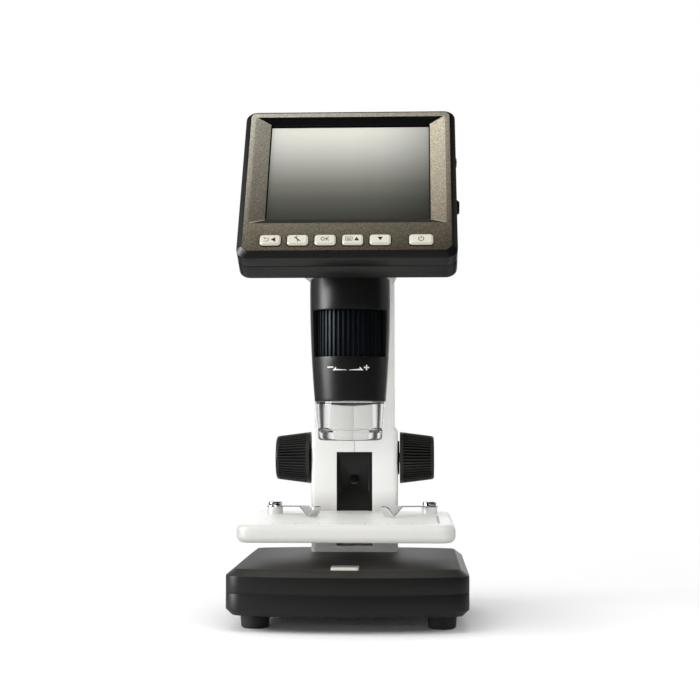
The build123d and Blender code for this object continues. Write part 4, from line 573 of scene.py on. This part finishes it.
# ---------------------------------------------------------------- edges of the CAD pieces
def smoothing_group():
    """Smooth shading with sharp edges kept where faces meet at a steep angle."""
    group = bpy.data.node_groups.new("smooth_by_angle", "GeometryNodeTree")
    group.interface.new_socket("Geometry", in_out="INPUT", socket_type="NodeSocketGeometry")
    group.interface.new_socket("Geometry", in_out="OUTPUT", socket_type="NodeSocketGeometry")
    begin = group.nodes.new("NodeGroupInput")
    end = group.nodes.new("NodeGroupOutput")
    angle = group.nodes.new("GeometryNodeInputMeshEdgeAngle")
    compare = group.nodes.new("FunctionNodeCompare")
    compare.data_type = "FLOAT"
    compare.operation = "LESS_THAN"
    compare.inputs[1].default_value = math.radians(SMOOTH_ANGLE)
    faces = group.nodes.new("GeometryNodeSetShadeSmooth")
    faces.domain = "FACE"
    edges = group.nodes.new("GeometryNodeSetShadeSmooth")
    edges.domain = "EDGE"
    links = group.links
    links.new(begin.outputs[0], faces.inputs["Geometry"])
    links.new(faces.outputs["Geometry"], edges.inputs["Geometry"])
    links.new(angle.outputs["Unsigned Angle"], compare.inputs[0])
    links.new(compare.outputs["Result"], edges.inputs["Shade Smooth"])
    links.new(edges.outputs["Geometry"], end.inputs[0])
    return group


# Widths of the rounded edges
EDGE_ROUND_MM = {
    "column_left_shell": 0.1, "column_right_shell": 0.1, "stage_plate": 0.3, "stage_bracket": 0.4,
    "base_upper_shell": 0.25, "base_lower_shell": 0.25, "head_front_shell": 0.35, "head_rear_shell": 0.4,
    "head_bezel": 0.12, "tube_housing": 0.3, "clear_cap": 0.25, "rubber_feet": 0.5, "carriage": 0.2,
    "left_knob": 0.08, "right_knob": 0.08, "focus_ring": 0.1, "capture_button": 0.3,
    "left_shaft_bush": 0.25, "right_shaft_bush": 0.25, "clip_screws": 0.15, "left_clip": 0.08,
    "right_clip": 0.08, "side_button": 0.3, "dimmer_wheel": 0.08, "carriage_screw": 0.15,
}
for key in ("back_key", "menu_key", "ok_key", "mode_key", "down_key", "power_key"):
    EDGE_ROUND_MM[key] = 0.12


def dress_node(obj, material, group):
    """Give a CAD node its finish, soft edges and smooth shading."""
    if not obj.data.materials:
        obj.data.materials.append(material)
    for slot in obj.material_slots:
        slot.material = material
    if "custom_normal" in obj.data.attributes:
        obj.data.attributes.remove(obj.data.attributes["custom_normal"])
    weld = obj.modifiers.new("weld", "WELD")
    weld.merge_threshold = WELD_M
    width = EDGE_ROUND_MM.get(obj.name)
    if width:
        bevel = obj.modifiers.new("edge_round", "BEVEL")
        bevel.width = width * MM
        bevel.segments = ROUND_SEGMENTS
        bevel.limit_method = "ANGLE"
        bevel.angle_limit = math.radians(ROUND_ANGLE)
        bevel.miter_outer = "MITER_ARC"
    smooth = obj.modifiers.new("smooth", "NODES")
    smooth.node_group = group


def dress_nodes():
    """Dress every CAD node, and return the materials by name."""
    materials = {name: make() for name, make in FINISHES.items()}
    group = smoothing_group()
    for entry in frame["record"]["subparts"]:
        dress_node(NODES[entry["node"]], materials[entry["material_slot"]], group)
    return materials


# ---------------------------------------------------------------- printed marks
# Shapes are lists of flat polygons, with their corners in mm
def stroke(points, width):
    """Quads along a path, one for each run, with square ends."""
    quads = []
    for (x0, y0), (x1, y1) in zip(points, points[1:]):
        length = math.hypot(x1 - x0, y1 - y0)
        ax, ay = (x1 - x0) / length * width / 2, (y1 - y0) / length * width / 2
        quads.append([(x0 - ax + ay, y0 - ay - ax), (x1 + ax + ay, y1 + ay - ax),
                      (x1 + ax - ay, y1 + ay + ax), (x0 - ax - ay, y0 - ay + ax)])
    return quads


def arc(radius, width, start, end, centre=(0, 0), steps=20, squash=1.0):
    """A ring's part, as quads, from start to end degrees."""
    quads = []
    for i in range(steps):
        a0 = math.radians(start + (end - start) * i / steps)
        a1 = math.radians(start + (end - start) * (i + 1) / steps)
        inner, outer = radius - width / 2, radius + width / 2
        quads.append([(centre[0] + r * squash * math.cos(a), centre[1] + r * math.sin(a))
                      for r, a in ((inner, a0), (outer, a0), (outer, a1), (inner, a1))])
    return quads


def moved(shapes, x, y):
    return [[(px + x, py + y) for px, py in shape] for shape in shapes]


def printed(name, shapes, target, origin, right, up, out, material, body):
    """Flat shapes in millimetres, laid on the target's surface seen along out."""
    bm = bmesh.new()
    for shape in shapes:
        corners = [bm.verts.new((x, y, 0)) for x, y in shape]
        bm.faces.new(corners)
    bmesh.ops.triangulate(bm, faces=bm.faces[:])
    for _ in range(PRINT_PASSES):
        long_edges = [edge for edge in bm.edges if edge.calc_length() > PRINT_STEP_MM]
        if not long_edges:
            break
        bmesh.ops.subdivide_edges(bm, edges=long_edges, cuts=1)
        bmesh.ops.triangulate(bm, faces=bm.faces[:])
    tree = BVHTree.FromObject(NODES[target], bpy.context.evaluated_depsgraph_get())
    for vertex in bm.verts:
        start = origin + (right * vertex.co.x + up * vertex.co.y) * MM + out * PRINT_START_M
        hit, normal, _, _ = tree.ray_cast(start, -out)
        vertex.co = hit + normal * PRINT_LIFT_MM * MM
    mesh = bpy.data.meshes.new(name)
    bm.to_mesh(mesh)
    bm.free()
    mesh.materials.append(material)
    for polygon in mesh.polygons:
        polygon.use_smooth = True
    obj = bpy.data.objects.new(name, mesh)
    bpy.context.scene.collection.objects.link(obj)
    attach(obj, body)


def triangle(width, height, turn):
    """A triangle with its tip up, turned by quarter turns to the left."""
    shape = [(-width / 2, -height / 2), (width / 2, -height / 2), (0, height / 2)]
    for _ in range(turn):
        shape = [(-y, x) for x, y in shape]
    return [shape]


# Line widths of the thin icons, the letters, the power sign, and the spanner's shaft and forks
ICON_LINE_MM = 0.24
LETTER_LINE_MM = 0.32
POWER_LINE_MM = 0.34
SPANNER_LINES_MM = (0.62, 0.42)


def back_arrow():
    """A return arrow: out to the right, round and back to the left, with its head at the start."""
    shapes = stroke([(-0.6, 0.75), (0.35, 0.75)], ICON_LINE_MM)
    shapes += arc(0.8, ICON_LINE_MM, -90, 90, (0.35, -0.05), 12)
    shapes += stroke([(0.35, -0.85), (-1.15, -0.85)], ICON_LINE_MM)
    return shapes + moved(triangle(1.0, 0.8, 1), -0.85, 0.75)


def spanner():
    """A spanner with a fork at each end, laid slantwise."""
    shaft, fork = SPANNER_LINES_MM
    shapes = stroke([(-0.75, 0.95), (0.3, -0.1)], shaft)
    for corner, first, second in (((-0.8, 1.0), (-0.3, 1.75), (-1.35, 1.25)),
                                  ((0.35, -0.15), (0.05, -0.9), (1.1, -0.7))):
        shapes += stroke([corner, first], fork) + stroke([corner, second], fork)
    return shapes


def letter_o():
    return arc(0.86, LETTER_LINE_MM, 0, 360, steps=28, squash=0.84)


def letter_k():
    shapes = stroke([(-0.55, -0.86), (-0.55, 0.86)], LETTER_LINE_MM)
    shapes += stroke([(0.55, 0.86), (-0.4, -0.05)], LETTER_LINE_MM)
    return shapes + stroke([(-0.15, 0.15), (0.6, -0.86)], LETTER_LINE_MM)


def picture_icon():
    """A picture with two peaks in it."""
    corners = [(-1.4, -0.95), (1.4, -0.95), (1.4, 0.95), (-1.4, 0.95), (-1.4, -0.95)]
    peaks = [[(-0.85, -0.5), (0.0, -0.5), (-0.45, 0.55)], [(0.0, -0.5), (0.85, -0.5), (0.45, 0.55)]]
    return stroke(corners, ICON_LINE_MM) + peaks


def power_icon():
    ring = arc(1.15, POWER_LINE_MM, 122, 418, (0, -0.1), 28)
    return ring + stroke([(0, 0.2), (0, 1.2)], POWER_LINE_MM)


def print_keys(materials):
    """Each key's mark, on the middle of its front."""
    marks = {
        "back_key": moved(back_arrow(), -1.7, -0.25) + moved(triangle(2.5, 2.0, 1), 1.35, -0.25),
        "menu_key": moved(spanner(), 0, -0.3),
        "ok_key": moved(letter_o(), -1.0, 0) + moved(letter_k(), 1.0, 0),
        "mode_key": moved(picture_icon(), -1.6, 0) + moved(triangle(2.3, 2.0, 0), 1.8, 0),
        "down_key": triangle(2.4, 2.0, 2),
        "power_key": power_icon(),
    }
    for key, shapes in marks.items():
        u = sum(spread(key, FACE_RIGHT)) / 2
        v = sum(spread(key, FACE_UP)) / 2
        w = spread(key, FACE_OUT)[1]
        printed(f"{key}_mark", shapes, key, face_point(u, v, w), FACE_RIGHT, FACE_UP, FACE_OUT,
                materials["key_ink"], key)


TUBE_MARK_Z_MM = 115.2
# An arrow to the right: its head and the two lengths of its shaft, which grows towards the head
TUBE_ARROW = [[(6.7, -0.1), (4.95, 1.6), (5.2, -0.08)],
              [(5.18, -0.08), (5.1, 0.6), (2.8, 0.34), (2.8, -0.05)],
              [(2.8, -0.05), (2.8, 0.34), (0.15, 0.16), (0.15, -0.02)]]
TUBE_ARROW_GAP_MM = 0.75
# The minus and the plus: each one's line width, then its lines
TUBE_MINUS = (0.64, [[(-9.4, 1.4), (-7.4, 1.4)]])
TUBE_PLUS = (0.56, [[(7.15, 1.2), (8.95, 1.2)], [(8.05, 2.1), (8.05, 0.3)]])


def print_tube(materials):
    """A minus, two arrows and a plus under the focus ring."""
    origin = Vector((TUBE_AXIS.x, TUBE_AXIS.y, TUBE_MARK_Z_MM * MM))
    shapes = []
    for width, lines in (TUBE_MINUS, TUBE_PLUS):
        for line in lines:
            shapes += stroke(line, width)
    shapes += TUBE_ARROW
    shapes += [[(-x - TUBE_ARROW_GAP_MM, z) for x, z in reversed(part)] for part in TUBE_ARROW]
    printed("tube_focus_marks", shapes, "tube_housing", origin, FACE_RIGHT, UP, -BACK,
            materials["white_ink"], "stand")


# How far in the scales start from the stage's front and right edges, and the front scale's zero
STAGE_FRONT_MM = 3.4
STAGE_SIDE_MM = 6.6
STAGE_ZERO_MM = -1.5
# The first tick and the one after the last, in mm from the middle
STAGE_FRONT_TICKS = (-36, 37)
STAGE_SIDE_TICKS = (-38, 13)
# Ticks by their step: step, length and width
STAGE_FRONT_SIZES = ((10, 3.6, 0.4), (5, 2.8, 0.3), (1, 1.4, 0.16))
STAGE_SIDE_SIZES = ((10, 1.7, 0.3), (5, 1.3, 0.3), (1, 0.9, 0.3))


def tick_size(tick, sizes):
    """The length and width of a tick."""
    return next((length, width) for step, length, width in sizes if tick % step == 0)


def print_stage(materials):
    """Scales along the stage's front and right edges."""
    front = []
    for tick in range(*STAGE_FRONT_TICKS):
        place = tick + STAGE_ZERO_MM
        length, width = tick_size(tick, STAGE_FRONT_SIZES)
        front += stroke([(place, STAGE_FRONT_MM), (place, STAGE_FRONT_MM + length)], width)
    side = []
    for tick in range(*STAGE_SIDE_TICKS):
        length, width = tick_size(tick, STAGE_SIDE_SIZES)
        side += stroke([(-STAGE_SIDE_MM - length, tick), (-STAGE_SIDE_MM, tick)], width)
    low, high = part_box("stage_plate")
    front_edge = Vector(((low.x + high.x) / 2, low.y, high.z))
    right_edge = Vector((high.x, (low.y + high.y) / 2, high.z))
    for name, shapes, origin in (("stage_front_scale", front, front_edge),
                                 ("stage_side_scale", side, right_edge)):
        printed(name, shapes, "stage_plate", origin, FACE_RIGHT, BACK, UP, materials["grey_ink"],
                "stage")


# ---------------------------------------------------------------- studio
LIGHT_TARGET = Vector((0, 0, 0.12))
# Name, azimuth and elevation in degrees, distance and size in metres, and radiance.
# Light that falls on the object, without its mirror image
SOFT_LIGHTS = (
    ("left_key", 80, 27, 1.25, (0.5, 0.5), 8.0),
    ("front_fill", 8, 4, 1.45, (1.2, 0.4), 3.7),
    ("left_front_fill", 45, 30, 1.4, (0.8, 0.6), 2.8),
    ("right_front_fill", -50, 30, 1.4, (0.8, 0.6), 3.2),
    ("overhead_fill", 10, 68, 1.35, (0.9, 0.7), 2.0),
    ("back_fill", 172, 26, 1.4, (0.9, 0.6), 2.2))
# Cards that show only as mirror images
MIRROR_CARDS = (
    ("left_softbox", 74, 13, 1.25, (0.62, 0.80), 11.5),
    ("back_sweep", 180, 12, 1.4, (1.5, 0.8), 1.3),
    ("right_room", -122, 14, 1.4, (1.1, 1.0), 0.35),
    ("left_room", 122, 14, 1.4, (0.5, 1.0), 0.40),
    ("top_card", 30, 62, 1.3, (0.7, 0.5), 1.1))


def aimed_light(name, azimuth, elevation, distance, size, radiance, unseen_by):
    """A softbox towards the object. Azimuth is in degrees from the front, to the object's left."""
    turn, lift = math.radians(azimuth), math.radians(elevation)
    way = Vector((-math.sin(turn) * math.cos(lift), -math.cos(turn) * math.cos(lift), math.sin(lift)))
    data = bpy.data.lights.new(name, "AREA")
    data.shape = "RECTANGLE"
    data.size, data.size_y = size
    data.energy = radiance * math.pi * size[0] * size[1]
    light = bpy.data.objects.new(name, data)
    light.location = LIGHT_TARGET + way * distance
    light.rotation_euler = (LIGHT_TARGET - light.location).to_track_quat("-Z", "Y").to_euler()
    bpy.context.scene.collection.objects.link(light)
    for kind in unseen_by:
        setattr(light, f"visible_{kind}", False)


def make_lights():
    for lights, unseen_by in ((SOFT_LIGHTS, ("glossy", "transmission")),
                              (MIRROR_CARDS, ("diffuse", "transmission"))):
        for light in lights:
            aimed_light(*light, unseen_by)


def choose(tree, factor, first, second):
    """A shader that goes from the first to the second as the factor goes from 0 to 1."""
    mix = tree.nodes.new("ShaderNodeMixShader")
    tree.links.new(factor, mix.inputs["Fac"])
    tree.links.new(first, mix.inputs[1])
    tree.links.new(second, mix.inputs[2])
    return mix.outputs["Shader"]


# The room's brightness for soft light, for light seen through clear parts, and how far
# round the white background reaches for the latter
ROOM_SOFT = 0.34
ROOM_DIM = 0.06
ROOM_WHITE = (0.78, 0.97)


def make_world():
    """White for the camera, an even soft light for dull surfaces and a dark room in mirrors."""
    world = bpy.data.worlds.new("studio")
    world.use_nodes = True
    world.cycles_visibility.glossy = False
    tree = world.node_tree
    tree.nodes.clear()

    def add(kind, **settings):
        node = tree.nodes.new(kind)
        for key, value in settings.items():
            setattr(node, key, value)
        return node

    def background(strength):
        node = add("ShaderNodeBackground")
        node.inputs["Color"].default_value = (1, 1, 1, 1)
        if isinstance(strength, float):
            node.inputs["Strength"].default_value = strength
        else:
            tree.links.new(strength, node.inputs["Strength"])
        return node.outputs["Background"]

    parts = add("ShaderNodeSeparateXYZ")
    tree.links.new(add("ShaderNodeTexCoord").outputs["Generated"], parts.inputs[0])
    back = add("ShaderNodeMapRange", interpolation_type="SMOOTHSTEP")
    back.inputs["From Min"].default_value, back.inputs["From Max"].default_value = ROOM_WHITE
    back.inputs["To Min"].default_value = ROOM_DIM
    tree.links.new(parts.outputs["Y"], back.inputs["Value"])
    rays = add("ShaderNodeLightPath")
    level = choose(tree, rays.outputs["Is Transmission Ray"], background(ROOM_SOFT),
                   background(back.outputs["Result"]))
    level = choose(tree, rays.outputs["Is Camera Ray"], level, background(1.0))
    tree.links.new(level, add("ShaderNodeOutputWorld").inputs["Surface"])
    bpy.context.scene.world = world


FLOOR_RADIUS = 4.0
FLOOR_SEGMENTS = 64
# The strength of the floor's own glow, and its colour for soft light
FLOOR_GLOW = 0.13
FLOOR_SOFT = (0.62, 0.62, 0.62)
# Metres from the middle: where the glow sets in, so that the floor nearer the middle holds a painted
# shadow under the object, where the floor runs out into white, and where it darkens in mirrors, there
# from near to far
FLOOR_PAINTED_SHADOW = (0.05, 0.085)
FLOOR_FADE = (0.16, 0.45)
FLOOR_DIM = (0.12, 0.42)
FLOOR_NEAR = 0.6
FLOOR_FAR = 0.14


def make_floor():
    """A white floor whose far part runs out into the white background, and whose glow is left out under
    the object as a painted shadow.
    """
    mesh = bpy.data.meshes.new("floor")
    bm = bmesh.new()
    bmesh.ops.create_circle(bm, cap_ends=True, segments=FLOOR_SEGMENTS, radius=FLOOR_RADIUS)
    bm.to_mesh(mesh)
    bm.free()
    floor = bpy.data.objects.new("floor", mesh)
    bpy.context.scene.collection.objects.link(floor)
    finish = Finish("floor", (0.9, 0.9, 0.9), 0.9)
    length = finish.add("ShaderNodeVectorMath", operation="LENGTH")
    finish.link(finish.place, length.inputs[0])

    def by_distance(limits, start, end):
        ramp = finish.add("ShaderNodeMapRange", interpolation_type="SMOOTHSTEP")
        ramp.inputs["From Min"].default_value, ramp.inputs["From Max"].default_value = limits
        ramp.inputs["To Min"].default_value = start
        ramp.inputs["To Max"].default_value = end
        finish.link(length.outputs["Value"], ramp.inputs["Value"])
        return ramp.outputs["Result"]

    def dull(color):
        shader = finish.add("ShaderNodeBsdfDiffuse")
        if isinstance(color, tuple):
            shader.inputs["Color"].default_value = (*color, 1.0)
        else:
            finish.link(color, shader.inputs["Color"])
        return shader.outputs["BSDF"]

    white = finish.patches(finish.noise(80.0, 2.0), 0.985, 1.0)
    glow = finish.add("ShaderNodeEmission")
    finish.link(by_distance(FLOOR_PAINTED_SHADOW, 0.0, FLOOR_GLOW), glow.inputs["Strength"])
    lit = finish.add("ShaderNodeAddShader")
    finish.link(dull(white), lit.inputs[0])
    finish.link(glow.outputs["Emission"], lit.inputs[1])
    seen = choose(finish.tree, by_distance(FLOOR_FADE, 0.0, 1.0), lit.outputs["Shader"],
                  finish.add("ShaderNodeEmission").outputs["Emission"])
    rays = finish.add("ShaderNodeLightPath")
    mirrored = dull(by_distance(FLOOR_DIM, FLOOR_NEAR, FLOOR_FAR))
    shader = choose(finish.tree, rays.outputs["Is Glossy Ray"], seen, mirrored)
    shader = choose(finish.tree, rays.outputs["Is Diffuse Ray"], shader, dull(FLOOR_SOFT))
    finish.link(shader, finish.tree.nodes["Material Output"].inputs["Surface"])
    mesh.materials.append(finish.material)


def make_camera():
    data = bpy.data.cameras.new("camera")
    data.sensor_width = SENSOR_MM
    data.lens = FOCAL_PIXELS / PICTURE_PIXELS * SENSOR_MM
    data.clip_start = CAMERA_NEAR_M
    camera = bpy.data.objects.new("camera", data)
    camera.location = Vector(CAMERA_PLACE_MM) * MM
    camera.rotation_euler = (math.radians(90 + CAMERA_PITCH), 0, math.radians(CAMERA_YAW))
    bpy.context.scene.collection.objects.link(camera)
    bpy.context.scene.camera = camera


def make_scene():
    for obj in list(bpy.data.objects):
        if obj.type in {"LIGHT", "CAMERA"}:
            bpy.data.objects.remove(obj)
    materials = dress_nodes()
    for name, color in INKS.items():
        materials[name] = print_ink(name, color)
    print_keys(materials)
    print_tube(materials)
    print_stage(materials)
    make_lights()
    make_world()
    make_floor()
    make_camera()
    bpy.context.scene.view_settings.view_transform = "Standard"
    bpy.context.scene.view_settings.look = "None"


make_scene()
